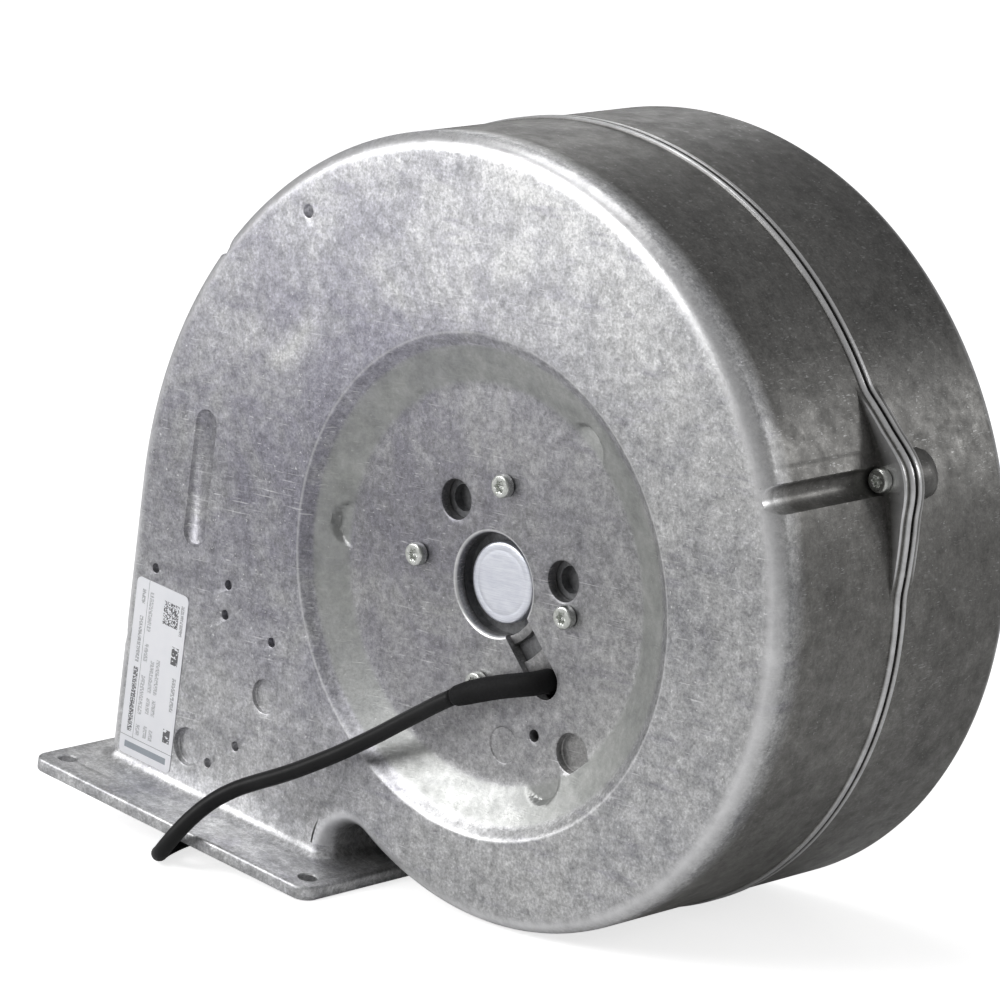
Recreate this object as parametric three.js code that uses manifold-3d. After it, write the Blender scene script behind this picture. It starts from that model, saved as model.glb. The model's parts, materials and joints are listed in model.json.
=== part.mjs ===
// Combustion fan: a die-cast scroll housing in two halves, a forward-curved drum impeller on an
// external-rotor motor, and the motor's cable with its plug.
//
// The machine is built upright: the fan axis is Y, the motor-side face lies in the plane y = 0,
// Y runs into the machine, Z is up and the outlet flange is level. The finished machine is then
// leaned over until the flange's edge and the scroll both stand on the floor, z = 0.
// All sizes are in millimetres.
import * as THREE from 'three';
import { mergeVertices } from 'three/addons/utils/BufferGeometryUtils.js';
import Module from 'manifold-3d';

const wasm = await Module();
wasm.setup();

// ---------------------------------------------------------------- driving dimensions
// Clearances
const JOINT_GAP = 0.3; // between pieces that rest on each other
const FIT_GAP = 0.15; // round a piece that slips into another
const SCREW_GAP = 0.25; // round a screw in its hole

// Scroll: outer radius = start + pitch * angle + swell * angle squared, angle in radians from +X
const SCROLL_RADIUS = 114.5;
const SCROLL_PITCH = 9.73;
const SCROLL_SWELL = 0.197;
const SCROLL_STEPS = 36;
const HOUSING_DEPTH = 105;
const WALL = 3;
const FACE = 3.5;
const FACE_ROUNDING = 6;

// Split between the two halves
const SPLIT_Y = 52;
const GASKET = 1;
const BEAD_OUT = 0.8;
const BEAD_WIDTH = 2;

// Outlet duct and its flange
const DUCT_RIGHT = -47.5;
const TONGUE_NOTCH = 9.5;
const FLANGE_DROP = 4.5; // from the notch's centre down to the top of the flange
const FLANGE_THICKNESS = 4.4;
const FLANGE_LEFT_MARGIN = 10.6;
const FLANGE_RIGHT_MARGIN = 14.5;
const FLANGE_OVERHANG = 21.3;
const FLANGE_CORNER = 5;
const FLANGE_HOLE = 2.9;
const FLANGE_HOLE_INSET = 8;
const FLANGE_FILLET = 3.2;

// Dished recess and motor plateau in the motor-side face
const RIM_RADIUS = 75;
const RIM_STEP_IN = 3.7;
const RIM_STEP_DEPTH = 2.8;
const PLATEAU_RADIUS = 59;
const PLATEAU_Y = 7.4;
const PAD_RADIUS = 7;
const PAD_CIRCLE = 58.5;
const HUB_HOLE = 15.4;
const CHANNEL_WIDTH = 11;
const CHANNEL_ANGLE = -42;
const CHANNEL_REACH = 33;
const AIR_HOLE = 6;
const AIR_HOLES = [[-19.2, 20.4], [26.6, 9.5]];
const PILOT_HOLE = 1.75;
const FACE_PILOT = 1.5;
const FACE_PILOTS = [
  [-134, -36.8], [-101.6, -31.9], [-101.5, -41.6], [-80.3, -43.6], [-90.5, -81], [-101.6, -90.3],
];

// Motor screws and housing screws (M4, lobe drive)
const SCREW_RADIUS = 2;
const SCREW_HEAD_RADIUS = 3.5;
const SCREW_HEAD_HEIGHT = 2.9;
const MOTOR_SCREW_CIRCLE = 30.6;
const MOTOR_SCREW_LENGTH = 9;
const MOTOR_SCREW_COUNT = 4;
const HOUSING_SCREW_LENGTH = 14;
const SCREW_SEAT = 0.5;

// Lugs for the housing screws
const LUG_THICKNESS = 3.8;
const LUG_RADIUS = 7.5;
const LUG_REACH = 28;
const LUG_STANDOFF = 1;
const BOSS_LENGTH = 13;
const DRIVER_GROOVE = 4.2;

// Motor
const MOTOR_PLATE_RADIUS = 36;
const MOTOR_PLATE = 4.5;
const TUBE_RADIUS = 11;
const TUBE_END_Y = 50;
const BEARING_RADIUS = 8;
const BEARING_WIDTH = 5;
const SHAFT_RADIUS = 2.5;
const CAP_RADIUS = 12.3;
const CAP_HEIGHT = 3;
const STACK_START_Y = 30;
const STACK_LENGTH = 18;
const STATOR_RADIUS = 24.2;
const TOOTH_COUNT = 9;
const TOOTH_WIDTH = 4;
const SHOE = 2;
const SHOE_SHARE = 0.42;
const AIR_GAP = 0.4;
const MAGNET = 2.4;
const CUP_WALL = 1.5;
const CUP_START_Y = 26;
const CUP_END_Y = 58;
const CUP_FLANGE_RADIUS = 38;
const BOARD_Y = 18.2;
const BOARD_THICKNESS = 1.6;
const BOARD_RADIUS = 25.5;

// Impeller
const DRUM_RADIUS = 80;
const DRUM_START_Y = 15.8;
const DRUM_CLEARANCE = 6; // from the blades to the inlet-side wall
const BLADE_COUNT = 40;
const BLADE_DEPTH = 13;
const SHEET = 1;
const DISC_Y = 14.5;
const DISH_RADIUS = 52;
const RIVET_CIRCLE = 33.5;
const RIVET_RADIUS = 1.9;
const RIVET_COUNT = 4;

// Inlet nozzle
const NOZZLE_THROAT = 54;
const NOZZLE_FLANGE = 74;
const NOZZLE_SHEET = 1.5;
const NOZZLE_REACH = 14;
const NOZZLE_SCREW_CIRCLE = 68;
const NOZZLE_SCREW_COUNT = 4;
const NOZZLE_SCREW_LENGTH = 7;

// Rating label
const LABEL_WIDTH = 23.7;
const LABEL_HEIGHT = 58.5;
const LABEL_SIDE = 6.1; // in from the duct's left wall
const LABEL_FOOT = 0.3; // above the flange's fillet
const LABEL_THICKNESS = 0.15;

// Cable
const CABLE_DIAMETER = 5;
const SLEEVE_RADIUS = 3.6;
const COIL_RADIUS = 27;
const COIL_WIDTH = 10.6;
const COIL_HEIGHT = 10;

// ---------------------------------------------------------------- helpers
const degrees = (angle) => THREE.MathUtils.degToRad(angle);
const onCircle = (radius, angle) => new THREE.Vector2(radius * Math.cos(angle), radius * Math.sin(angle));

/** A closed body that booleans can use. */
function solid(geometry) {
  const bare = geometry.clone();
  bare.deleteAttribute('normal');
  bare.deleteAttribute('uv');
  const merged = mergeVertices(bare, 1e-5);
  const mesh = new wasm.Mesh({
    numProp: 3,
    vertProperties: merged.attributes.position.array,
    triVerts: Uint32Array.from(merged.index.array),
  });
  return new wasm.Manifold(mesh);
}

/** The three.js geometry of a finished body. */
function geometryOf(body) {
  const mesh = body.getMesh();
  const geometry = new THREE.BufferGeometry();
  geometry.setAttribute('position', new THREE.BufferAttribute(Float32Array.from(mesh.vertProperties), 3));
  geometry.setIndex(new THREE.BufferAttribute(Uint32Array.from(mesh.triVerts), 1));
  geometry.computeVertexNormals();
  return geometry;
}

/** Prism of an x-z outline between two depths; rounding softens the edges at both ends. */
function prismGeometry(outline, fromY, toY, rounding = 0, holes = []) {
  const shape = new THREE.Shape(outline);
  shape.holes = holes.map((hole) => new THREE.Path(hole));
  const geometry = new THREE.ExtrudeGeometry(shape, {
    depth: toY - fromY - 2 * rounding,
    bevelEnabled: rounding > 0,
    bevelThickness: rounding,
    bevelSize: rounding,
    bevelOffset: -rounding,
    bevelSegments: 2,
  });
  return geometry.rotateX(Math.PI / 2).translate(0, toY - rounding, 0);
}
const prism = (...settings) => solid(prismGeometry(...settings));

/** Body turned about the fan axis from [radius, y] points, listed either way round. */
function turnedGeometry(profile, steps = 24) {
  const points = profile.map(([radius, y]) => new THREE.Vector2(radius, y));
  const onAxis = points[0].x === 0 && points.at(-1).x === 0;
  const area = THREE.ShapeUtils.area(points);
  if (area < 0) points.reverse();
  if (!onAxis) points.push(points[0].clone());
  return new THREE.LatheGeometry(points, steps);
}
const turned = (profile, steps) => solid(turnedGeometry(profile, steps));

/** Round bar along Y, centred on (x, z). */
function barGeometry(radius, fromY, toY, x = 0, z = 0, steps = 12) {
  const geometry = new THREE.CylinderGeometry(radius, radius, toY - fromY, steps);
  return geometry.translate(x, (fromY + toY) / 2, z);
}
const bar = (...settings) => solid(barGeometry(...settings));

/** Box between two corners. */
function block(low, high) {
  const size = high.map((value, axis) => value - low[axis]);
  const geometry = new THREE.BoxGeometry(...size);
  return solid(geometry.translate(...low.map((value, axis) => value + size[axis] / 2)));
}

const joined = (bodies) => bodies.reduce((whole, body) => whole.add(body));
const cutFrom = (body, cuts) => cuts.reduce((whole, cut) => whole.subtract(cut), body);

/** Rectangle in x and z with rounded corners, as outline points. */
function roundedRectangle(left, bottom, right, top, corner, steps = 4) {
  const centres = [
    [right - corner, bottom + corner, -90],
    [right - corner, top - corner, 0],
    [left + corner, top - corner, 90],
    [left + corner, bottom + corner, 180],
  ];
  return centres.flatMap(([x, z, start]) => Array.from({ length: steps + 1 }, (_, step) => {
    const point = onCircle(corner, degrees(start + (90 * step) / steps));
    return point.add(new THREE.Vector2(x, z));
  }));
}

// ---------------------------------------------------------------- materials
const finish = (color, roughness, metalness) => ({ color, roughness, metalness });
const CAST = finish(0x9a9a9c, 0.5, 0.9);
const STEEL = finish(0xc9ccd2, 0.3, 1);
const ZINC = finish(0xb4b6b4, 0.35, 1);
const BLACK_RUBBER = finish(0x1c1d1e, 0.75, 0);
const BLACK_SHEATH = finish(0x242526, 0.5, 0);
const GASKET_GREY = finish(0x3c3e40, 0.8, 0);
const COPPER = finish(0xb06a3a, 0.4, 1);
const BOARD_GREEN = finish(0x2b5c40, 0.6, 0);
const LAMINATION = finish(0x6d6f73, 0.45, 1);
const MAGNET_GREY = finish(0x34363a, 0.6, 0.3);
const LABEL_WHITE = finish(0xecedee, 0.45, 0);
const PLUG_WHITE = finish(0xdcdcd4, 0.55, 0);

const machine = new THREE.Group();
function place(name, geometry, material, parent = machine) {
  const mesh = new THREE.Mesh(geometry, new THREE.MeshStandardMaterial(material));
  mesh.name = name;
  parent.add(mesh);
  return mesh;
}

// ---------------------------------------------------------------- scroll and duct outline
const scrollRadius = (angle) => SCROLL_RADIUS + SCROLL_PITCH * angle + SCROLL_SWELL * angle ** 2;

// The scroll ends on the left, where its wall points straight down into the duct.
const scrollEnd = (() => {
  let angle = Math.PI;
  for (let pass = 0; pass < 20; pass += 1) {
    const growth = SCROLL_PITCH + 2 * SCROLL_SWELL * angle;
    angle = Math.PI + Math.atan(growth / scrollRadius(angle));
  }
  return angle;
})();
const DUCT_LEFT = onCircle(scrollRadius(scrollEnd), scrollEnd).x;

// The notch between duct and scroll is a round hollow that touches both.
const notch = (() => {
  const x = DUCT_RIGHT + TONGUE_NOTCH;
  let angle = degrees(-110);
  for (let pass = 0; pass < 40; pass += 1) {
    const reach = scrollRadius(angle) + TONGUE_NOTCH;
    angle = -Math.acos(x / reach);
  }
  return { x, z: (scrollRadius(angle) + TONGUE_NOTCH) * Math.sin(angle), angle };
})();

/** Outline of scroll and duct, drawn in by an inset, with the duct open down to a level. */
function housingOutline(inset, bottom) {
  const scroll = Array.from({ length: SCROLL_STEPS + 1 }, (_, step) => {
    const angle = notch.angle + ((scrollEnd - notch.angle) * step) / SCROLL_STEPS;
    return onCircle(scrollRadius(angle) - inset, angle);
  });
  const arcSteps = 6;
  const hollow = Array.from({ length: arcSteps }, (_, step) => {
    const angle = Math.PI + (notch.angle * step) / arcSteps;
    return onCircle(TONGUE_NOTCH + inset, angle).add(new THREE.Vector2(notch.x, notch.z));
  });
  return [
    ...scroll,
    new THREE.Vector2(DUCT_LEFT + inset, bottom),
    new THREE.Vector2(DUCT_RIGHT - inset, bottom),
    ...hollow,
  ];
}

const FLANGE_LEFT = DUCT_LEFT - FLANGE_LEFT_MARGIN;
const FLANGE_RIGHT = DUCT_RIGHT + FLANGE_RIGHT_MARGIN;
const FLANGE_TOP = notch.z - FLANGE_DROP;
const FLANGE_BOTTOM = FLANGE_TOP - FLANGE_THICKNESS;
const INLET_HALF_Y = SPLIT_Y + GASKET + 2 * JOINT_GAP / 3;
const GASKET_Y = SPLIT_Y + JOINT_GAP / 3;

// ---------------------------------------------------------------- housing screws and their lugs
// Each lug: place of its screw axis, the way it points, and how far its foot falls away.
const scrollLug = (angleDegrees) => {
  const angle = degrees(angleDegrees);
  const axis = onCircle(scrollRadius(angle) + LUG_STANDOFF, angle);
  const fall = scrollRadius(angle) * (1 - Math.cos(LUG_REACH / scrollRadius(angle))) + 1;
  return { x: axis.x, z: axis.y, angle, fall };
};
const lugs = [
  scrollLug(29.4),
  scrollLug(150),
  { x: DUCT_LEFT - LUG_STANDOFF, z: -62, angle: Math.PI, fall: 1 },
  { x: notch.x + 0.2, z: notch.z + 1.6, angle: degrees(-92), fall: 0 },
];
const tongueLug = lugs[3];
const wallLugs = lugs.slice(0, 3);

/** Lug seen along the axis: a wide foot on the wall and a round end about the screw. */
function lugOutline(lug) {
  if (lug === tongueLug) return roundedRectangle(DUCT_RIGHT - 1, lug.z - 7, lug.x + 7, lug.z + 10, 6.5);
  const turn = degrees(70);
  const steps = 8;
  const tip = Array.from({ length: steps + 1 }, (_, step) => onCircle(LUG_RADIUS, (2 * step / steps - 1) * turn));
  const foot = -LUG_STANDOFF - lug.fall;
  const local = [new THREE.Vector2(foot, -LUG_REACH), ...tip, new THREE.Vector2(foot, LUG_REACH)];
  const origin = new THREE.Vector2();
  return local.map((point) => point.rotateAround(origin, lug.angle).add(new THREE.Vector2(lug.x, lug.z)));
}
const lugPrisms = (fromY, toY) => lugs.map((lug) => prism(lugOutline(lug), fromY, toY));
const screwHoles = (fromY, toY) => lugs.map((lug) => bar(SCREW_RADIUS + SCREW_GAP, fromY, toY, lug.x, lug.z, 12));

// ---------------------------------------------------------------- shared housing pieces
const BELOW = FLANGE_BOTTOM - 10;
const trimBelow = block([-400, -100, BELOW - 50], [400, 300, FLANGE_BOTTOM]);
const cavity = (fromY, toY) => prism(housingOutline(WALL, BELOW), fromY, toY);
const ductWay = (fromY, toY) => block(
  [DUCT_LEFT + WALL, fromY, BELOW],
  [DUCT_RIGHT - WALL, toY, FLANGE_TOP],
);
const bead = (fromY, toY) => prism(housingOutline(-BEAD_OUT, BELOW), fromY, toY);
const flangeOutline = (nearY, farY) => roundedRectangle(
  FLANGE_LEFT, nearY, FLANGE_RIGHT, farY, FLANGE_CORNER,
);

/** Flat plate of the outlet flange with its four corner holes. */
function flangePlate() {
  const near = -FLANGE_OVERHANG;
  const far = HOUSING_DEPTH + FLANGE_OVERHANG;
  const shape = new THREE.Shape(flangeOutline(near, far));
  for (const x of [FLANGE_LEFT + FLANGE_HOLE_INSET, FLANGE_RIGHT - FLANGE_HOLE_INSET + 1]) {
    for (const y of [near + FLANGE_HOLE_INSET, far - FLANGE_HOLE_INSET]) {
      shape.holes.push(new THREE.Path().absarc(x, y, FLANGE_HOLE, 0, 2 * Math.PI));
    }
  }
  const plate = new THREE.ExtrudeGeometry(shape, {
    depth: FLANGE_THICKNESS, bevelEnabled: false, curveSegments: 12,
  });
  return solid(plate.translate(0, 0, FLANGE_BOTTOM));
}
const flange = flangePlate();

/** Sloped fillet between the duct's walls and the flange, right round the duct. */
function flangeFillet() {
  const foot = FLANGE_FILLET + WALL;
  const shape = new THREE.Shape(roundedRectangle(
    DUCT_LEFT - FLANGE_FILLET, -FLANGE_FILLET,
    DUCT_RIGHT + FLANGE_FILLET, HOUSING_DEPTH + FLANGE_FILLET, FLANGE_FILLET + 0.5,
  ));
  const skirt = new THREE.ExtrudeGeometry(shape, {
    depth: 0.5,
    bevelEnabled: true,
    bevelThickness: FLANGE_FILLET,
    bevelSize: FLANGE_FILLET,
    bevelOffset: -FLANGE_FILLET,
    bevelSegments: 1,
  });
  return solid(skirt.translate(0, 0, FLANGE_TOP - 0.5)).subtract(
    block([DUCT_LEFT + WALL, FACE, FLANGE_TOP - foot], [DUCT_RIGHT - WALL, HOUSING_DEPTH - FACE, FLANGE_TOP + foot]),
  );
}
const fillet = flangeFillet();

const motorScrewAngles = Array.from({ length: MOTOR_SCREW_COUNT }, (_, index) => (
  (index * 2 * Math.PI) / MOTOR_SCREW_COUNT
));

// ---------------------------------------------------------------- motor-side housing
const channelEnd = onCircle(CHANNEL_REACH, degrees(CHANNEL_ANGLE));

function motorSideHousing() {
  const shell = prism(housingOutline(0, BELOW), 0, 2 * HOUSING_DEPTH, FACE_ROUNDING)
    .subtract(block([-400, SPLIT_Y, -400], [400, 3 * HOUSING_DEPTH, 400]));
  const recess = turned([
    [0, -1], [RIM_RADIUS + 1, -1], [RIM_RADIUS, 0],
    [RIM_RADIUS - RIM_STEP_IN, RIM_STEP_DEPTH], [PLATEAU_RADIUS, PLATEAU_Y], [0, PLATEAU_Y],
  ], 40);
  const recessInside = turned([
    [0, 0], [RIM_RADIUS + FACE, 0], [RIM_RADIUS + FACE, FACE + 0.1],
    [RIM_RADIUS - RIM_STEP_IN + 2, RIM_STEP_DEPTH + FACE],
    [PLATEAU_RADIUS + 1, PLATEAU_Y + FACE], [0, PLATEAU_Y + FACE],
  ], 36);
  const pads = [60, 180, 300].map((angle) => {
    const centre = onCircle(PAD_CIRCLE, degrees(angle));
    return bar(PAD_RADIUS, 0, PLATEAU_Y, centre.x, centre.y);
  });
  const grooves = wallLugs.map((lug) => bar(DRIVER_GROOVE, -1, SPLIT_Y - LUG_THICKNESS, lug.x, lug.z));
  const grooveWalls = wallLugs.map((lug) => bar(DRIVER_GROOVE + WALL, 0, SPLIT_Y + 1, lug.x, lug.z));
  const hollow = cutFrom(cavity(FACE, SPLIT_Y + 1), [recessInside, ...grooveWalls]);
  const solidParts = joined([
    shell,
    bead(SPLIT_Y - BEAD_WIDTH, SPLIT_Y),
    ...lugPrisms(SPLIT_Y - LUG_THICKNESS, SPLIT_Y),
    flange.add(fillet).subtract(block([-400, SPLIT_Y, -400], [400, 400, 400])),
  ]);
  const throughPlateau = PLATEAU_Y + FACE + 1;
  const screwWays = motorScrewAngles.map((angle) => {
    const centre = onCircle(MOTOR_SCREW_CIRCLE, angle);
    return bar(SCREW_RADIUS + SCREW_GAP, 0, throughPlateau, centre.x, centre.y, 12);
  });
  // Two air holes and one pilot hole, all through the plateau.
  const airHoles = AIR_HOLES.map(([x, z]) => bar(AIR_HOLE, 0, throughPlateau, x, z));
  const pilot = bar(PILOT_HOLE, 0, throughPlateau, 23.5, -39.4, 16);
  // Shallow round marks: a location dimple, the date mark and two ejector marks.
  const marks = [
    bar(6, PLATEAU_Y - 3, PLATEAU_Y + 2.6, 38.8, -39.7),
    bar(5.5, PLATEAU_Y - 3, PLATEAU_Y + 0.35, 12.2, -46.1),
    bar(5.25, -1, 1.6, -80.6, -61.3),
    bar(6, -1, 2.2, -111.4, -88.3),
  ];
  const facePilots = FACE_PILOTS.map(([x, z]) => bar(FACE_PILOT, -1, 2.6, x, z, 8));
  const topPilot = bar(2, -1, 2.8, -86.5, 91, 14);
  const numberPocket = prism(roundedRectangle(-122.8, -24.4, -115.2, 18.8, 3.7), -1, 0.6);
  const channelBox = new THREE.BoxGeometry(CHANNEL_REACH, 2 * FACE + 2, CHANNEL_WIDTH);
  channelBox.translate(CHANNEL_REACH / 2, PLATEAU_Y + FACE / 2, 0).rotateY(-degrees(CHANNEL_ANGLE));
  const channel = solid(channelBox).add(
    bar(CHANNEL_WIDTH / 2, PLATEAU_Y - 2, throughPlateau, channelEnd.x, channelEnd.y),
  );
  return cutFrom(solidParts, [
    hollow, ductWay(FACE, SPLIT_Y + 1), trimBelow, recess, ...pads, ...grooves,
    ...screwHoles(SPLIT_Y - LUG_THICKNESS - 1, SPLIT_Y + 1),
    bar(HUB_HOLE, -1, throughPlateau, 0, 0, 32), ...screwWays, ...airHoles, pilot, ...marks,
    ...facePilots, topPilot, numberPocket, channel,
  ]);
}
place('motor_side_housing', geometryOf(motorSideHousing()), CAST);

// ---------------------------------------------------------------- gasket between the halves
function gasket() {
  const sheet = joined([
    prism(housingOutline(0.6, FLANGE_BOTTOM + 0.5), GASKET_Y, GASKET_Y + GASKET),
    ...lugPrisms(GASKET_Y, GASKET_Y + GASKET),
  ]);
  return cutFrom(sheet, [
    cavity(0, HOUSING_DEPTH),
    ductWay(0, HOUSING_DEPTH),
    ...screwHoles(0, HOUSING_DEPTH),
  ]);
}
place('housing_gasket', geometryOf(gasket()), GASKET_GREY);

// ---------------------------------------------------------------- inlet-side housing
const NOZZLE_BORE = NOZZLE_THROAT + 7.5;
const nozzleScrewAngles = Array.from({ length: NOZZLE_SCREW_COUNT }, (_, index) => (
  Math.PI / 4 + (index * 2 * Math.PI) / NOZZLE_SCREW_COUNT
));

function inletSideHousing() {
  const shell = prism(housingOutline(0, BELOW), -HOUSING_DEPTH, HOUSING_DEPTH, FACE_ROUNDING)
    .subtract(block([-400, -400, -400], [400, INLET_HALF_Y, 400]));
  const bosses = lugs.map((lug) => (
    bar(LUG_RADIUS - 0.5, INLET_HALF_Y, INLET_HALF_Y + BOSS_LENGTH, lug.x, lug.z)
  ));
  const nozzleBosses = nozzleScrewAngles.map((angle) => {
    const centre = onCircle(NOZZLE_SCREW_CIRCLE, angle);
    return bar(4.5, HOUSING_DEPTH - FACE - 3, HOUSING_DEPTH - 1, centre.x, centre.y);
  });
  const hollow = cutFrom(cavity(INLET_HALF_Y - 1, HOUSING_DEPTH - FACE), nozzleBosses);
  const solidParts = joined([
    shell,
    bead(INLET_HALF_Y, INLET_HALF_Y + BEAD_WIDTH),
    ...lugPrisms(INLET_HALF_Y, INLET_HALF_Y + LUG_THICKNESS),
    ...bosses,
    flange.add(fillet).subtract(block([-400, -400, -400], [400, INLET_HALF_Y, 400])),
  ]);
  const nozzleHoles = nozzleScrewAngles.map((angle) => {
    const centre = onCircle(NOZZLE_SCREW_CIRCLE, angle);
    return bar(SCREW_RADIUS + SCREW_GAP, HOUSING_DEPTH - NOZZLE_SCREW_LENGTH, HOUSING_DEPTH + 1,
      centre.x, centre.y, 12);
  });
  return cutFrom(solidParts, [
    hollow, ductWay(INLET_HALF_Y - 1, HOUSING_DEPTH - FACE), trimBelow,
    bar(NOZZLE_BORE, 50, HOUSING_DEPTH + 1, 0, 0, 36),
    ...screwHoles(INLET_HALF_Y - 1, INLET_HALF_Y + BOSS_LENGTH - 2), ...nozzleHoles,
  ]);
}
place('inlet_side_housing', geometryOf(inletSideHousing()), CAST);

// ---------------------------------------------------------------- screws
/** Cheese-head screw along +Y: the underside of its head lies at y = 0, its tip at y = length. */
function screwGeometry(length) {
  const lobes = Array.from({ length: 12 }, (_, step) => (
    onCircle(step % 2 ? 1.05 : 1.65, degrees(30 * step))
  ));
  const head = turned([
    [0, -SCREW_HEAD_HEIGHT], [SCREW_HEAD_RADIUS - 0.4, -SCREW_HEAD_HEIGHT],
    [SCREW_HEAD_RADIUS, -SCREW_HEAD_HEIGHT + 0.4], [SCREW_HEAD_RADIUS, 0],
    [SCREW_RADIUS, 0], [SCREW_RADIUS, length - 0.6], [SCREW_RADIUS - 0.6, length], [0, length],
  ], 10);
  return geometryOf(head.subtract(prism(lobes, -SCREW_HEAD_HEIGHT - 1, -SCREW_HEAD_HEIGHT + 1.5)));
}

motorScrewAngles.forEach((angle, index) => {
  const screw = place(`motor_screw_${index + 1}`, screwGeometry(MOTOR_SCREW_LENGTH), ZINC);
  const centre = onCircle(MOTOR_SCREW_CIRCLE, angle);
  screw.position.set(centre.x, PLATEAU_Y - JOINT_GAP, centre.y);
});
lugs.forEach((lug, index) => {
  const screw = place(`housing_screw_${index + 1}`, screwGeometry(HOUSING_SCREW_LENGTH), ZINC);
  screw.position.set(lug.x, SPLIT_Y - LUG_THICKNESS - JOINT_GAP, lug.z);
});
nozzleScrewAngles.forEach((angle, index) => {
  const screw = place(`nozzle_screw_${index + 1}`, screwGeometry(NOZZLE_SCREW_LENGTH), ZINC);
  const centre = onCircle(NOZZLE_SCREW_CIRCLE, angle);
  screw.rotation.x = Math.PI;
  screw.position.set(centre.x, HOUSING_DEPTH + NOZZLE_SHEET + 2 * JOINT_GAP, centre.y);
});

// ---------------------------------------------------------------- inlet nozzle
function inletNozzle() {
  const near = HOUSING_DEPTH + JOINT_GAP;
  const far = near + NOZZLE_SHEET;
  const steps = 4;
  const bell = Array.from({ length: steps + 1 }, (_, step) => {
    const angle = (step * Math.PI) / 2 / steps;
    return [NOZZLE_THROAT + 6 * (1 - Math.cos(angle)), far - NOZZLE_REACH * (1 - Math.sin(angle))];
  });
  const back = bell.map(([radius, y]) => [radius + NOZZLE_SHEET * Math.min(1, (far - y) / 4), y])
    .filter(([, y]) => y < near - 0.2).reverse();
  const ring = turned([
    ...bell, [NOZZLE_FLANGE, far], [NOZZLE_FLANGE, near], [NOZZLE_THROAT + 7, near], ...back,
  ], 28);
  return cutFrom(ring, nozzleScrewAngles.map((angle) => {
    const centre = onCircle(NOZZLE_SCREW_CIRCLE, angle);
    return bar(SCREW_RADIUS + SCREW_GAP, near - 1, far + 1, centre.x, centre.y, 12);
  }));
}
place('inlet_nozzle', geometryOf(inletNozzle()), STEEL);

// ---------------------------------------------------------------- motor: fixed side
const PLATE_Y = PLATEAU_Y + FACE + JOINT_GAP;
const PLATE_END_Y = PLATE_Y + MOTOR_PLATE;
const BEARING_BORE = BEARING_RADIUS + FIT_GAP;
const FRONT_BEARING_Y = PLATE_END_Y + 0.8;
const REAR_BEARING_Y = TUBE_END_Y - BEARING_WIDTH - 2;

function motorPlate() {
  const webY = PLATE_Y + CAP_HEIGHT;
  const body = turned([
    [HUB_HOLE + 0.2, PLATE_Y], [MOTOR_PLATE_RADIUS, PLATE_Y], [MOTOR_PLATE_RADIUS, PLATE_END_Y],
    [TUBE_RADIUS, PLATE_END_Y], [TUBE_RADIUS, TUBE_END_Y], [BEARING_BORE, TUBE_END_Y],
    [BEARING_BORE, REAR_BEARING_Y - JOINT_GAP], [BEARING_BORE - 1.5, REAR_BEARING_Y - JOINT_GAP],
    [BEARING_BORE - 1.5, FRONT_BEARING_Y + BEARING_WIDTH + JOINT_GAP],
    [BEARING_BORE, FRONT_BEARING_Y + BEARING_WIDTH + JOINT_GAP], [BEARING_BORE, webY],
    [HUB_HOLE + 0.2, webY],
  ], 24);
  const bosses = motorScrewAngles.map((angle) => {
    const centre = onCircle(MOTOR_SCREW_CIRCLE, angle);
    return bar(4.5, PLATE_END_Y - 1, PLATE_END_Y + 2, centre.x, centre.y, 20);
  });
  const holes = motorScrewAngles.map((angle) => {
    const centre = onCircle(MOTOR_SCREW_CIRCLE, angle);
    return bar(SCREW_RADIUS + SCREW_GAP, PLATE_Y - 1, PLATE_END_Y + 3, centre.x, centre.y, 12);
  });
  const pockets = AIR_HOLES.map(([x, z]) => bar(AIR_HOLE - 1.8, PLATE_Y - 1, PLATE_Y + 3, x, z));
  return cutFrom(joined([body, ...bosses]), [...holes, ...pockets]);
}
place('motor_plate', geometryOf(motorPlate()), CAST);

place('motor_end_cap', turnedGeometry([
  [0, PLATE_Y - 0.3], [CAP_RADIUS - 1.6, PLATE_Y - 0.3], [CAP_RADIUS - 0.9, PLATE_Y + 0.1],
  [CAP_RADIUS, PLATE_Y + 0.3], [CAP_RADIUS, PLATE_Y + CAP_HEIGHT - JOINT_GAP],
  [CAP_RADIUS - 0.8, PLATE_Y + CAP_HEIGHT - JOINT_GAP], [CAP_RADIUS - 0.8, PLATE_Y + 1],
  [0, PLATE_Y + 0.6],
]), STEEL);

const bearingProfile = (y) => [
  [SHAFT_RADIUS + FIT_GAP, y], [BEARING_RADIUS, y],
  [BEARING_RADIUS, y + BEARING_WIDTH], [SHAFT_RADIUS + FIT_GAP, y + BEARING_WIDTH],
];
place('front_bearing', turnedGeometry(bearingProfile(FRONT_BEARING_Y), 20), STEEL);
place('rear_bearing', turnedGeometry(bearingProfile(REAR_BEARING_Y), 20), STEEL);
const preloadY = REAR_BEARING_Y + BEARING_WIDTH + JOINT_GAP;
place('preload_washer', turnedGeometry([
  [BEARING_RADIUS - 2, preloadY], [BEARING_RADIUS - 0.2, preloadY],
  [BEARING_RADIUS - 0.2, preloadY + 0.8], [BEARING_RADIUS - 2, preloadY + 0.8],
], 20), STEEL);

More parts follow.
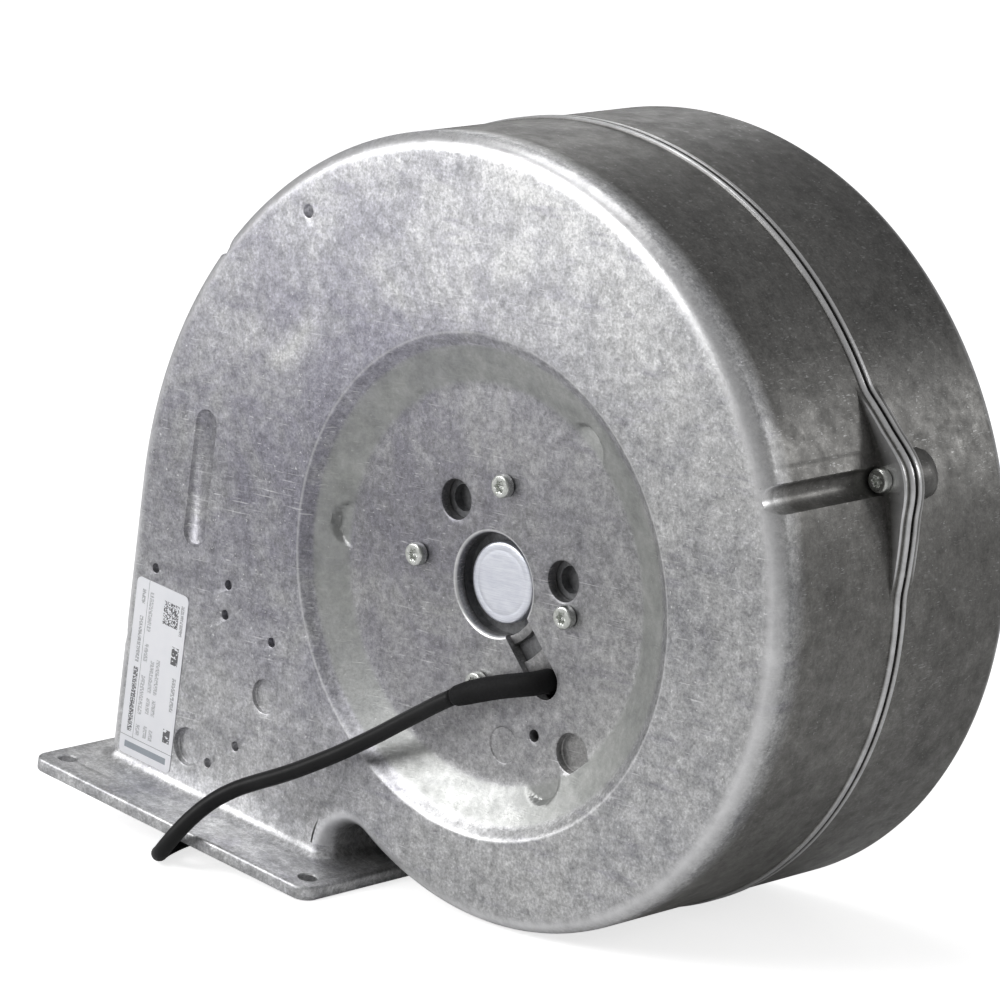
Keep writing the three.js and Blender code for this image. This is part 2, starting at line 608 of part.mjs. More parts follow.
/** Stack of stator sheets: a ring with a tooth and a wide pole shoe at every step. */
function statorOutline() {
  const pitch = (2 * Math.PI) / TOOTH_COUNT;
  const rootRadius = TUBE_RADIUS + 3;
  const shoe = STATOR_RADIUS - SHOE;
  const half = TOOTH_WIDTH / 2;
  return Array.from({ length: TOOTH_COUNT }, (_, tooth) => {
    const middle = tooth * pitch;
    const local = [
      onCircle(rootRadius, -pitch / 2),
      onCircle(rootRadius, -Math.asin(half / rootRadius)),
      onCircle(shoe, -Math.asin(half / shoe)),
      onCircle(shoe, -pitch * SHOE_SHARE),
      ...[-SHOE_SHARE, -0.2, 0, 0.2, SHOE_SHARE].map((share) => onCircle(STATOR_RADIUS, pitch * share)),
      onCircle(shoe, pitch * SHOE_SHARE),
      onCircle(shoe, Math.asin(half / shoe)),
      onCircle(rootRadius, Math.asin(half / rootRadius)),
    ];
    return local.map((point) => point.rotateAround(new THREE.Vector2(), middle));
  }).flat();
}
const statorBore = Array.from({ length: 24 }, (_, step) => (
  onCircle(TUBE_RADIUS + FIT_GAP, (-step * Math.PI) / 12)
));
place('stator_core', prismGeometry(
  statorOutline(), STACK_START_Y, STACK_START_Y + STACK_LENGTH, 0, [statorBore],
), LAMINATION);

/** One winding: a square ring of wire round a tooth, drawn along the tooth. */
function windingGeometry() {
  const inner = TOOTH_WIDTH / 2 + JOINT_GAP;
  const outer = inner + 1.5;
  const halfStack = STACK_LENGTH / 2;
  const frame = new THREE.Shape(roundedRectangle(-outer, -halfStack - 1.9, outer, halfStack + 1.9, 1.2, 1));
  frame.holes.push(new THREE.Path(roundedRectangle(
    -inner, -halfStack - JOINT_GAP, inner, halfStack + JOINT_GAP, 0.1, 1,
  ).reverse()));
  const start = TUBE_RADIUS + 3 + 2 * JOINT_GAP;
  const pitch = (2 * Math.PI) / TOOTH_COUNT;
  const depth = (STATOR_RADIUS - SHOE) * Math.cos(SHOE_SHARE * pitch) - JOINT_GAP - start;
  const ring = new THREE.ExtrudeGeometry(frame, { depth, bevelEnabled: false });
  return ring.translate(0, 0, start);
}
for (let index = 0; index < TOOTH_COUNT; index += 1) {
  const winding = place(`stator_winding_${index + 1}`, windingGeometry(), COPPER);
  winding.rotation.y = (index * 2 * Math.PI) / TOOTH_COUNT + Math.PI / 2;
  winding.position.y = STACK_START_Y + STACK_LENGTH / 2;
}

// ---------------------------------------------------------------- motor: control board
place('control_board', turnedGeometry([
  [TUBE_RADIUS + JOINT_GAP, BOARD_Y], [BOARD_RADIUS, BOARD_Y],
  [BOARD_RADIUS, BOARD_Y + BOARD_THICKNESS], [TUBE_RADIUS + JOINT_GAP, BOARD_Y + BOARD_THICKNESS],
], 24), BOARD_GREEN);
const boardTop = BOARD_Y + BOARD_THICKNESS + 0.1;
const BOARD_PARTS = [
  // name, angle, radius from the axis, width, height, depth, colour
  ['driver_chip', 30, 18, 7, 1.4, 7, MAGNET_GREY],
  ['power_switch_1', 95, 18, 5, 1.6, 6, MAGNET_GREY],
  ['power_switch_2', 135, 18, 5, 1.6, 6, MAGNET_GREY],
  ['power_switch_3', 175, 18, 5, 1.6, 6, MAGNET_GREY],
  ['hall_sensor_1', 230, 22.5, 3, 1.5, 3, MAGNET_GREY],
  ['hall_sensor_2', 270, 22.5, 3, 1.5, 3, MAGNET_GREY],
  ['hall_sensor_3', 310, 22.5, 3, 1.5, 3, MAGNET_GREY],
];
BOARD_PARTS.forEach(([name, angle, radius, width, height, depth, material]) => {
  const part = place(name, new THREE.BoxGeometry(width, height, depth), material);
  const centre = onCircle(radius, degrees(angle));
  part.rotation.y = -degrees(angle);
  part.position.set(centre.x, boardTop + height / 2, centre.y);
});

// ---------------------------------------------------------------- motor: turning side
const magnetInner = STATOR_RADIUS + AIR_GAP;
const magnetOuter = magnetInner + MAGNET;
const cupInner = magnetOuter + FIT_GAP;
const cupOuter = cupInner + CUP_WALL;
const cupFlangeEnd = CUP_START_Y + CUP_WALL;
place('magnet_ring', turnedGeometry([
  [magnetInner, STACK_START_Y - 1], [magnetOuter, STACK_START_Y - 1],
  [magnetOuter, STACK_START_Y + STACK_LENGTH + 1], [magnetInner, STACK_START_Y + STACK_LENGTH + 1],
]), MAGNET_GREY);

const rivetAngles = Array.from({ length: RIVET_COUNT }, (_, index) => (
  Math.PI / 4 + (index * 2 * Math.PI) / RIVET_COUNT
));
const rivetHoles = (fromY, toY) => rivetAngles.map((angle) => {
  const centre = onCircle(RIVET_CIRCLE, angle);
  return bar(RIVET_RADIUS + FIT_GAP, fromY, toY, centre.x, centre.y, 12);
});
const cup = turned([
  [CUP_FLANGE_RADIUS, CUP_START_Y], [CUP_FLANGE_RADIUS, cupFlangeEnd], [cupOuter, cupFlangeEnd],
  [cupOuter, CUP_END_Y - 2], [cupOuter - 2, CUP_END_Y], [6, CUP_END_Y], [6, CUP_END_Y + 2],
  [SHAFT_RADIUS + FIT_GAP, CUP_END_Y + 2], [SHAFT_RADIUS + FIT_GAP, TUBE_END_Y + 1.5],
  [6, TUBE_END_Y + 1.5], [6, CUP_END_Y - CUP_WALL], [cupInner - 1.4, CUP_END_Y - CUP_WALL],
  [cupInner, CUP_END_Y - CUP_WALL - 1.4], [cupInner, CUP_START_Y],
]);
place('rotor_cup', geometryOf(cutFrom(cup, rivetHoles(CUP_START_Y - 1, cupFlangeEnd + 1))), STEEL);

const SHAFT_START_Y = PLATE_Y + CAP_HEIGHT - 1;
place('motor_shaft', turnedGeometry([
  [0, SHAFT_START_Y], [SHAFT_RADIUS - 0.4, SHAFT_START_Y], [SHAFT_RADIUS, SHAFT_START_Y + 0.4],
  [SHAFT_RADIUS, CUP_END_Y + 1.6], [SHAFT_RADIUS - 0.4, CUP_END_Y + 2], [0, CUP_END_Y + 2],
], 14), STEEL);
const clipY = FRONT_BEARING_Y - 1.2;
place('shaft_clip', turnedGeometry([
  [SHAFT_RADIUS + FIT_GAP, clipY], [SHAFT_RADIUS + 2, clipY],
  [SHAFT_RADIUS + 2, clipY + 0.7], [SHAFT_RADIUS + FIT_GAP, clipY + 0.7],
], 20), STEEL);

// ---------------------------------------------------------------- impeller
const DRUM_END_Y = HOUSING_DEPTH - FACE - DRUM_CLEARANCE;
const hubSheetY = cupFlangeEnd + JOINT_GAP;
const hubDisc = turned([
  [cupOuter + FIT_GAP, hubSheetY], [CUP_FLANGE_RADIUS + 1.5, hubSheetY],
  [DISH_RADIUS, DISC_Y], [DRUM_RADIUS - 1, DISC_Y], [DRUM_RADIUS - 1, DISC_Y + SHEET],
  [DISH_RADIUS + 0.7, DISC_Y + SHEET], [CUP_FLANGE_RADIUS + 2, hubSheetY + SHEET],
  [cupOuter + FIT_GAP, hubSheetY + SHEET],
], 24);
place('impeller_hub_disc', geometryOf(cutFrom(hubDisc, rivetHoles(hubSheetY - 1, hubSheetY + 2))), ZINC);

rivetAngles.forEach((angle, index) => {
  const top = hubSheetY + SHEET + JOINT_GAP;
  const base = CUP_START_Y - JOINT_GAP;
  const rivet = place(`impeller_rivet_${index + 1}`, turnedGeometry([
    [0, base - 1], [2.6, base - 1], [3.2, base], [RIVET_RADIUS, base],
    [RIVET_RADIUS, top], [3.2, top], [2.6, top + 1], [0, top + 1],
  ], 12), STEEL);
  const centre = onCircle(RIVET_CIRCLE, angle);
  rivet.position.set(centre.x, 0, centre.y);
});

/** Blade seen along the axis: a thin arc that leans forward towards the rim. */
function bladeOutline(index) {
  const steps = 2;
  const thickness = 0.9;
  const arc = (extra) => Array.from({ length: steps + 1 }, (_, step) => {
    const share = step / steps;
    const radius = DRUM_RADIUS - BLADE_DEPTH + (BLADE_DEPTH - 0.6) * share + 0.3;
    const sweep = 0.13 * share ** 1.9 + extra / radius;
    return onCircle(radius, sweep + (index * 2 * Math.PI) / BLADE_COUNT);
  });
  return [...arc(-thickness / 2), ...arc(thickness / 2).reverse()];
}
function bladeDrum() {
  const ring = (fromY, inner) => turned([
    [inner, fromY], [DRUM_RADIUS, fromY], [DRUM_RADIUS, fromY + SHEET], [inner, fromY + SHEET],
  ], 40);
  const blades = Array.from({ length: BLADE_COUNT }, (_, index) => (
    prism(bladeOutline(index), DRUM_START_Y + SHEET / 2, DRUM_END_Y - SHEET / 2)
  ));
  return joined([
    ring(DRUM_START_Y, DRUM_RADIUS - BLADE_DEPTH - 1),
    ring(DRUM_END_Y - SHEET, DRUM_RADIUS - BLADE_DEPTH + 0.1),
    ...blades,
  ]);
}
place('impeller_blade_drum', geometryOf(bladeDrum()), ZINC);

// ---------------------------------------------------------------- rating label
const labelLeft = DUCT_LEFT + LABEL_SIDE;
const labelFoot = FLANGE_TOP + FLANGE_FILLET + LABEL_FOOT;
place('rating_label', prismGeometry(roundedRectangle(
  labelLeft, labelFoot, labelLeft + LABEL_WIDTH, labelFoot + LABEL_HEIGHT, 2,
), -LABEL_THICKNESS - 0.05, -0.05), LABEL_WHITE);

// ---------------------------------------------------------------- leaning the machine on the floor
// It stands on the lower right edge of the flange and on the lowest line of the scroll.
const restEdge = new THREE.Vector2(FLANGE_RIGHT, FLANGE_BOTTOM);
const scrollUnderside = housingOutline(-BEAD_OUT, BELOW).filter((point) => point.x > 0 && point.y < 0);
const lean = Math.min(...scrollUnderside.map((point) => point.clone().sub(restEdge).angle()));
machine.rotation.y = lean;
machine.updateMatrixWorld(true);
const standing = new THREE.Box3().setFromObject(machine, true);
const middle = standing.getCenter(new THREE.Vector3());
machine.position.set(-middle.x, -middle.y, -standing.min.z);

const object = new THREE.Group();
object.add(machine);

// ---------------------------------------------------------------- cable
/** Round rod along a curve through points. */
function rodGeometry(points, radius, sides, steps) {
  const path = new THREE.CatmullRomCurve3(points.map((point) => new THREE.Vector3(...point)));
  const section = new THREE.Shape(Array.from({ length: sides }, (_, side) => (
    onCircle(radius, ((side + 0.5) * 2 * Math.PI) / sides)
  )));
  return new THREE.ExtrudeGeometry(section, { steps, bevelEnabled: false, extrudePath: path });
}

// The sleeve rises out of the cable channel and turns along the plateau, in the upright frame.
place('cable_sleeve', rodGeometry([
  [channelEnd.x, PLATE_Y - JOINT_GAP, channelEnd.y], [channelEnd.x, 7.6, channelEnd.y],
  [23.5, 4.4, -22.6], [20.1, 2.2, -23.8], [13.6, 0.9, -26.4], [6, 0, -30], [-2.1, -0.7, -34.4],
], SLEEVE_RADIUS, 8, 10), BLACK_RUBBER);

// The cable's centre line from the sleeve to its coil, as it lies on the floor, z = 0.
const CABLE_ROUTE = [
  [18.65, -53.3, 68.2], [13.5, -53.9, 65.4], [6.1, -54.7, 61], [-1.2, -55.6, 56.6], [-8.5, -56.6, 52.1],
  [-15.7, -57.5, 47.9], [-22.6, -59, 43.9], [-29.5, -60.8, 40.2], [-36.1, -62.7, 36.8],
  [-42.5, -64.6, 33.8], [-49.1, -66.8, 31], [-55, -69.2, 28.3], [-60, -71.8, 25.2],
  [-64.2, -74.4, 21.6], [-68.2, -76.9, 17.2], [-72, -78.9, 12.4], [-75.6, -79.8, 8],
  [-79.2, -79, 4.6], [-83.2, -75.6, 3], [-87.2, -68.5, 2.6], [-91, -56, 2.6], [-93.6, -38, 2.6],
  [-95, -15, 2.6], [-95, 10, 2.6], [-95, 35, 2.6], [-95, 60, 2.6], [-95, 89.5, 2.6],
];
place('motor_cable', rodGeometry(CABLE_ROUTE, CABLE_DIAMETER / 2, 8, 44), BLACK_SHEATH, object);

// The turns lie behind the machine: two on the floor and a third one that starts on top of them.
const coilCentre = [-65.4, 107.5];
const coilRing = turnedGeometry([
  [COIL_RADIUS - COIL_WIDTH / 2, 0.1], [COIL_RADIUS + COIL_WIDTH / 2, 0.1],
  [COIL_RADIUS + COIL_WIDTH / 2, COIL_HEIGHT], [COIL_RADIUS - COIL_WIDTH / 2, COIL_HEIGHT],
], 32);
const coil = place('cable_coil', coilRing, BLACK_SHEATH, object);
coil.rotation.x = Math.PI / 2;
coil.position.set(coilCentre[0], coilCentre[1], 0);

const CABLE_TAIL = [[-43.6, 134.5, 7], [-40, 134.5, 6.2], [-36, 134.5, 4.9], [-32.3, 134.5, 4.5]];
place('cable_tail', rodGeometry(CABLE_TAIL, CABLE_DIAMETER / 2, 8, 5), BLACK_SHEATH, object);

/** Four-way plug lying on the floor, with its latch on top and four sockets in its end. */
function cablePlug() {
  const [startX, y] = [-32, 134.5];
  const length = 20;
  const halfWidth = 6.5;
  const body = joined([
    block([startX, y - halfWidth, 0.1], [startX + length, y + halfWidth, 8.1]),
    block([startX + 5, y - 2, 7.6], [startX + length - 3, y + 2, 9.4]),
  ]);
  const sockets = [-4.5, -1.5, 1.5, 4.5].map((offset) => block(
    [startX + length - 6, y + offset - 0.9, 3], [startX + length + 1, y + offset + 0.9, 5.2],
  ));
  return cutFrom(body, sockets);
}
place('cable_plug', geometryOf(cablePlug()), PLUG_WHITE, object);

export default object;
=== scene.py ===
import json
import math

import bpy
import numpy as np
from mathutils import Matrix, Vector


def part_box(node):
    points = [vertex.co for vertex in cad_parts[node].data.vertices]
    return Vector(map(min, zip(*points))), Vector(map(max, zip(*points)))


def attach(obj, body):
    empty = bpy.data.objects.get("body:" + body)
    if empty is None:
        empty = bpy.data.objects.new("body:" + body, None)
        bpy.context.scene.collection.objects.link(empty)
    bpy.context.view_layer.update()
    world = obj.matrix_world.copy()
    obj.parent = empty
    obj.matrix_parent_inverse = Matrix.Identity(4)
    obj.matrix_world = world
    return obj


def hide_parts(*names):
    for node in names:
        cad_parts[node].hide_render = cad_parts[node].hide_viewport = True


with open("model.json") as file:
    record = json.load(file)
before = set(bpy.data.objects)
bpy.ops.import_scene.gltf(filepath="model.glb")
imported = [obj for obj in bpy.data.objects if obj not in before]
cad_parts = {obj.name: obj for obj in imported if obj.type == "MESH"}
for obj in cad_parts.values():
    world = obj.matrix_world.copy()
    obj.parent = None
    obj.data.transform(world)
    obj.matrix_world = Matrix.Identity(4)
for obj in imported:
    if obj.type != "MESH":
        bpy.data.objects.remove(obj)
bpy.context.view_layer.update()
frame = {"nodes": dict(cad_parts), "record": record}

# ---------------------------------------------------------------- camera
# A long lens looks at the motor side from the right and a little from above,
# tipped by a degree and a half.
camera_data = bpy.data.cameras.new("camera")
camera_data.lens = 188.1
camera_data.sensor_width = 36.0
camera_data.clip_start = 0.05
camera_data.clip_end = 60.0
camera = bpy.data.objects.new("camera", camera_data)
bpy.context.collection.objects.link(camera)
camera_right = (0.72085, 0.69256, 0.02710)
camera_up = (-0.16061, 0.12888, 0.97857)
camera_back = (0.67423, -0.70975, 0.20414)
camera_place = (1.0553, -1.1270, 0.4389)
camera.matrix_world = Matrix([
    (camera_right[row], camera_up[row], camera_back[row], camera_place[row]) for row in range(3)
] + [(0.0, 0.0, 0.0, 1.0)])
bpy.context.scene.camera = camera

# ---------------------------------------------------------------- the machine's own axes
# The fan stands tilted on its flange's edge. Its pieces are drawn upright, in millimetres from
# the fan axis at the motor-side face, and turned and moved here to where the frame has them.
fan_joint = frame["record"]["behaviour"]["joints"][0]
flange_mount = frame["record"]["mounts"][0]
hub_x, _, hub_z = fan_joint["pos_m"]
lean_sine, lean_cosine = -flange_mount["axis"][0], -flange_mount["axis"][2]
FACE_PLACE = -0.0525


def stood(points):
    """Upright millimetres to metres in the frame: a turn by the lean about the fan axis, a move."""
    points = np.asarray(points, dtype=float) / 1000.0
    x, y, z = points[..., 0], points[..., 1], points[..., 2]
    return np.stack([
        x * lean_cosine + z * lean_sine + hub_x,
        y + FACE_PLACE,
        z * lean_cosine - x * lean_sine + hub_z,
    ], axis=-1)


# ---------------------------------------------------------------- cable
# Black sheathed motor cable, 5 mm thick. It runs from the sleeve over the face to the floor,
# passes below the flange and lies behind the machine in a round coil, held by a tie.
CABLE_RADIUS = 0.0025
CABLE_RUN = np.array([
    [18.65, -53.3, 68.2], [13.5, -53.9, 65.4], [6.1, -54.7, 61], [-1.2, -55.6, 56.6],
    [-8.5, -56.6, 52.1], [-15.7, -57.5, 47.9], [-22.6, -59, 43.9], [-29.5, -60.8, 40.2],
    [-36.1, -62.7, 36.8], [-42.5, -64.6, 33.8], [-49.1, -66.8, 31], [-55, -69.2, 28.3],
    [-60, -71.8, 25.2], [-64.2, -74.4, 21.6], [-68.2, -76.9, 17.2], [-72, -78.9, 12.4],
    [-75.6, -79.8, 8], [-79.2, -79, 4.6], [-83.2, -75.6, 3], [-87.2, -68.5, 2.6],
    [-91, -56, 2.6], [-93.6, -38, 2.6], [-95, -15, 2.6], [-95, 10, 2.6], [-95, 35, 2.6],
    [-95, 60, 2.6], [-95, 89.5, 2.6],
]) / 1000.0
CABLE_TAIL = np.array([
    [-43.6, 134.5, 7.0], [-40.0, 134.5, 6.2], [-36.0, 134.5, 4.9], [-32.2, 134.5, 4.5],
]) / 1000.0
COIL_CENTRE = (-0.0654, 0.1075)


def through(points, steps):
    """Smooth line through points: a Catmull-Rom cubic between each two, as whole arrays."""
    points = np.asarray(points, dtype=float)
    padded = np.vstack([2 * points[0] - points[1], points, 2 * points[-1] - points[-2]])
    before, start, end, after = padded[:-3], padded[1:-2], padded[2:-1], padded[3:]
    t = (np.arange(steps) / steps)[None, :, None]
    before, start, end, after = (side[:, None, :] for side in (before, start, end, after))
    line = 0.5 * (
        2 * start + (end - before) * t + (2 * before - 5 * start + 4 * end - after) * t**2
        + (3 * start - before - 3 * end + after) * t**3
    )
    return np.vstack([line.reshape(-1, 3), points[-1:]])


def framed(path):
    """Two directions square to a line at each of its points, carried on without twist."""
    tangent = np.gradient(path, axis=0)
    tangent /= np.linalg.norm(tangent, axis=1, keepdims=True)
    side = np.zeros_like(path)
    last = np.array([0.0, 0.0, 1.0])
    for step, direction in enumerate(tangent):
        last = last - direction * np.dot(last, direction)
        last /= np.linalg.norm(last)
        side[step] = last
    return side, np.cross(tangent, side)


def mesh_object(name, vertices, faces, smooth=True):
    """Object of vertices in metres and faces as lists, turned inside out if its volume is negative."""
    vertices = np.asarray(vertices, dtype=float)
    triangles = np.array([
        (face[0], face[corner], face[corner + 1])
        for face in faces for corner in range(1, len(face) - 1)
    ])
    first, second, third = (vertices[triangles[:, corner]] for corner in range(3))
    if np.einsum("ij,ij->i", first, np.cross(second, third)).sum() < 0:
        faces = [tuple(reversed(face)) for face in faces]
    mesh = bpy.data.meshes.new(name)
    mesh.from_pydata(vertices.tolist(), [], faces)
    if smooth:
        mesh.polygons.foreach_set("use_smooth", np.ones(len(mesh.polygons), dtype=bool))
    mesh.update()
    piece = bpy.data.objects.new(name, mesh)
    bpy.context.collection.objects.link(piece)
    return piece


def grid_faces(rows, columns, close_rows=False):
    """Quads between neighbours of a grid of points whose rows are rings; the last row may join the
    first."""
    row = np.arange(rows if close_rows else rows - 1)[:, None]
    column = np.arange(columns)[None, :]
    next_row, next_column = (row + 1) % rows, (column + 1) % columns
    quads = np.stack([
        row * columns + column, row * columns + next_column,
        next_row * columns + next_column, next_row * columns + column,
    ], axis=-1)
    return quads.reshape(-1, 4).tolist()


def capped_faces(rows, columns):
    """The same quads, with one flat face over the first ring and one over the last."""
    last = (rows - 1) * columns
    return grid_faces(rows, columns) + [
        list(range(columns - 1, -1, -1)), list(range(last, last + columns)),
    ]


def tube(name, path, radii, sides):
    """Round section of a radius of its own at every point, carried along a path, flat ends closed."""
    side, across = framed(path)
    radii = np.broadcast_to(np.asarray(radii, dtype=float), (len(path),))[:, None, None]
    turn = (np.arange(sides) * 2 * np.pi / sides)[None, :, None]
    rings = path[:, None, :] + radii * (
        np.cos(turn) * side[:, None, :] + np.sin(turn) * across[:, None, :]
    )
    return mesh_object(name, rings.reshape(-1, 3), capped_faces(len(path), sides))


def coiled():
    """Two turns flat on the floor, 29.6 and 24.4 mm from the middle, then up onto both of them."""
    turned_by = np.radians(np.arange(4.0, 810.1, 6.0))
    knots = np.radians([0, 290, 350, 585, 655, 690, 720, 810])
    radius = np.interp(turned_by, knots, [29.6, 29.6, 24.4, 24.4, 26.6, 27.0, 27.0, 27.0])
    height = np.interp(turned_by, knots, [2.6, 2.6, 2.6, 2.6, 7.3, 7.8, 7.1, 7.0])
    ease = np.ones(9) / 9
    padded = np.pad(np.stack([radius, height]), ((0, 0), (4, 4)), mode="edge")
    radius, height = (np.convolve(row, ease, mode="valid") for row in padded)
    angle = math.pi - turned_by
    return np.stack([
        COIL_CENTRE[0] + radius / 1000 * np.cos(angle),
        COIL_CENTRE[1] + radius / 1000 * np.sin(angle),
        height / 1000,
    ], axis=-1)


cable_path = through(np.vstack([CABLE_RUN, coiled(), CABLE_TAIL]), 3)
cable = tube("cable", cable_path, CABLE_RADIUS, 18)
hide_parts("motor_cable", "cable_coil", "cable_tail")
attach(cable, "housing")

# ---------------------------------------------------------------- floor and light
# A plain pale floor below soft studio panels.
floor_mesh = bpy.data.meshes.new("floor")
floor_mesh.from_pydata([(-30, -30, 0), (30, -30, 0), (30, 30, 0), (-30, 30, 0)], [], [(0, 1, 2, 3)])
floor = bpy.data.objects.new("floor", floor_mesh)
bpy.context.collection.objects.link(floor)
floor_material = bpy.data.materials.new("floor")
floor_material.use_nodes = True
floor_shader = floor_material.node_tree.nodes["Principled BSDF"]
floor_shader.inputs["Base Color"].default_value = (0.80, 0.80, 0.80, 1)
floor_shader.inputs["Roughness"].default_value = 0.95
floor_shader.inputs["Emission Color"].default_value = (1, 1, 1, 1)
floor_nodes, floor_links = floor_material.node_tree.nodes, floor_material.node_tree.links
seen_floor = floor_nodes.new("ShaderNodeLightPath")
floor_glow = floor_nodes.new("ShaderNodeMath")
floor_glow.operation = "MULTIPLY"
floor_glow.inputs[1].default_value = 0.74
floor_links.new(seen_floor.outputs["Is Camera Ray"], floor_glow.inputs[0])
floor_links.new(floor_glow.outputs[0], floor_shader.inputs["Emission Strength"])
floor_mesh.materials.append(floor_material)
bpy.context.scene.view_settings.view_transform = "Standard"

# The room is dim and even; the backdrop behind the machine is white.
world = bpy.data.worlds.new("studio")
bpy.context.scene.world = world
world.use_nodes = True
world_nodes, world_links = world.node_tree.nodes, world.node_tree.links
room = world_nodes["Background"]
room.inputs["Color"].default_value = (1, 1, 1, 1)
room.inputs["Strength"].default_value = 0.28
white = world_nodes.new("ShaderNodeBackground")
white.inputs["Color"].default_value = (1, 1, 1, 1)
white.inputs["Strength"].default_value = 1.0
seen = world_nodes.new("ShaderNodeLightPath")
either = world_nodes.new("ShaderNodeMixShader")
world_links.new(seen.outputs["Is Camera Ray"], either.inputs[0])
world_links.new(room.outputs[0], either.inputs[1])
world_links.new(white.outputs[0], either.inputs[2])
world_links.new(either.outputs[0], world_nodes["World Output"].inputs["Surface"])


def panel(name, place, aim, size, power):
    """Rectangular light that faces a point; its sheet is (width, height) in metres."""
    light = bpy.data.lights.new(name, "AREA")
    light.shape = "RECTANGLE"
    light.size, light.size_y = size
    light.energy = power
    lamp = bpy.data.objects.new(name, light)
    bpy.context.collection.objects.link(lamp)
    direction = Matrix.Translation(place).to_translation() - Matrix.Translation(aim).to_translation()
    lamp.location = place
    lamp.rotation_mode = "QUATERNION"
    lamp.rotation_quaternion = direction.to_track_quat("Z", "Y")
    lamp.visible_camera = False
    return lamp


panel("front panel", (-0.9, -1.9, 1.5), (0, 0, 0.1), (1.6, 1.0), 24)
panel("low panel", (-1.6, -1.75, 0.75), (0, 0, 0.12), (1.3, 0.5), 11)
panel("right strip", (1.9, 2.5, 1.05), (0.1, 0, 0.1), (0.9, 0.7), 14)
panel("left strip", (-2.2, 2.6, 1.3), (-0.1, 0, 0.2), (0.9, 0.7), 4)
panel("top panel", (-0.5, 0.1, 2.2), (0, 0, 0.1), (1.4, 0.8), 9)

# ---------------------------------------------------------------- scroll housing, both halves
# Two die-cast aluminium shells that meet at a gasket. Each is one closed skin: the face with its
# edge, the scroll's wall with lugs and a raised seam, and the same again 3 mm further in.
SCROLL_START, SCROLL_PITCH, SCROLL_SWELL = 114.5, 9.73, 0.197
WALL = 3.0
FACE = 3.5
EDGE_ROUND = 6.0
DEPTH = 105.0
MOTOR_HALF_END = 52.0
INLET_HALF_START = 53.2
DUCT_RIGHT = -47.5
NOTCH = 9.5
FLANGE_TOP = -103.33
FLANGE_BOTTOM = -107.73
SEAM_OUT, SEAM_WIDTH = 0.8, 2.0
LUG_THICK, LUG_STANDOFF = 3.8, 1.0
LUG_ANGLES = (29.4, 150.0)
LEFT_LUG_HEIGHT = -62.0
GROOVE_ROUND = 4.2
BOSS_ROUND, BOSS_LENGTH = 7.0, 13.0


def scroll_radius(angle):
    """The scroll's radius, which grows with the angle and a little with its square."""
    return SCROLL_START + SCROLL_PITCH * angle + SCROLL_SWELL * angle**2


def scroll_point(angle):
    """Point of the scroll at an angle, as x and z."""
    return scroll_radius(angle) * np.cos(angle), scroll_radius(angle) * np.sin(angle)


# The scroll starts at the notch beside the duct and ends where its wall points straight down.
NOTCH_X = DUCT_RIGHT + NOTCH
scroll_first = math.radians(-110)
scroll_last = math.pi
for _ in range(40):
    scroll_first = -math.acos(NOTCH_X / (scroll_radius(scroll_first) + NOTCH))
    growth = SCROLL_PITCH + 2 * SCROLL_SWELL * scroll_last
    scroll_last = math.pi + math.atan(growth / scroll_radius(scroll_last))
NOTCH_Z = (scroll_radius(scroll_first) + NOTCH) * math.sin(scroll_first)
DUCT_LEFT, DUCT_TOP = (float(place) for place in scroll_point(scroll_last))

wall_lugs = []
for lug_angle in LUG_ANGLES:
    turn = math.radians(lug_angle)
    lug_radius = scroll_radius(turn) + LUG_STANDOFF
    wall_lugs.append((lug_radius * math.cos(turn), lug_radius * math.sin(turn), turn))
wall_lugs.append((DUCT_LEFT - LUG_STANDOFF, LEFT_LUG_HEIGHT, math.pi))
tongue_lug = (NOTCH_X + 0.2, NOTCH_Z + 1.6)


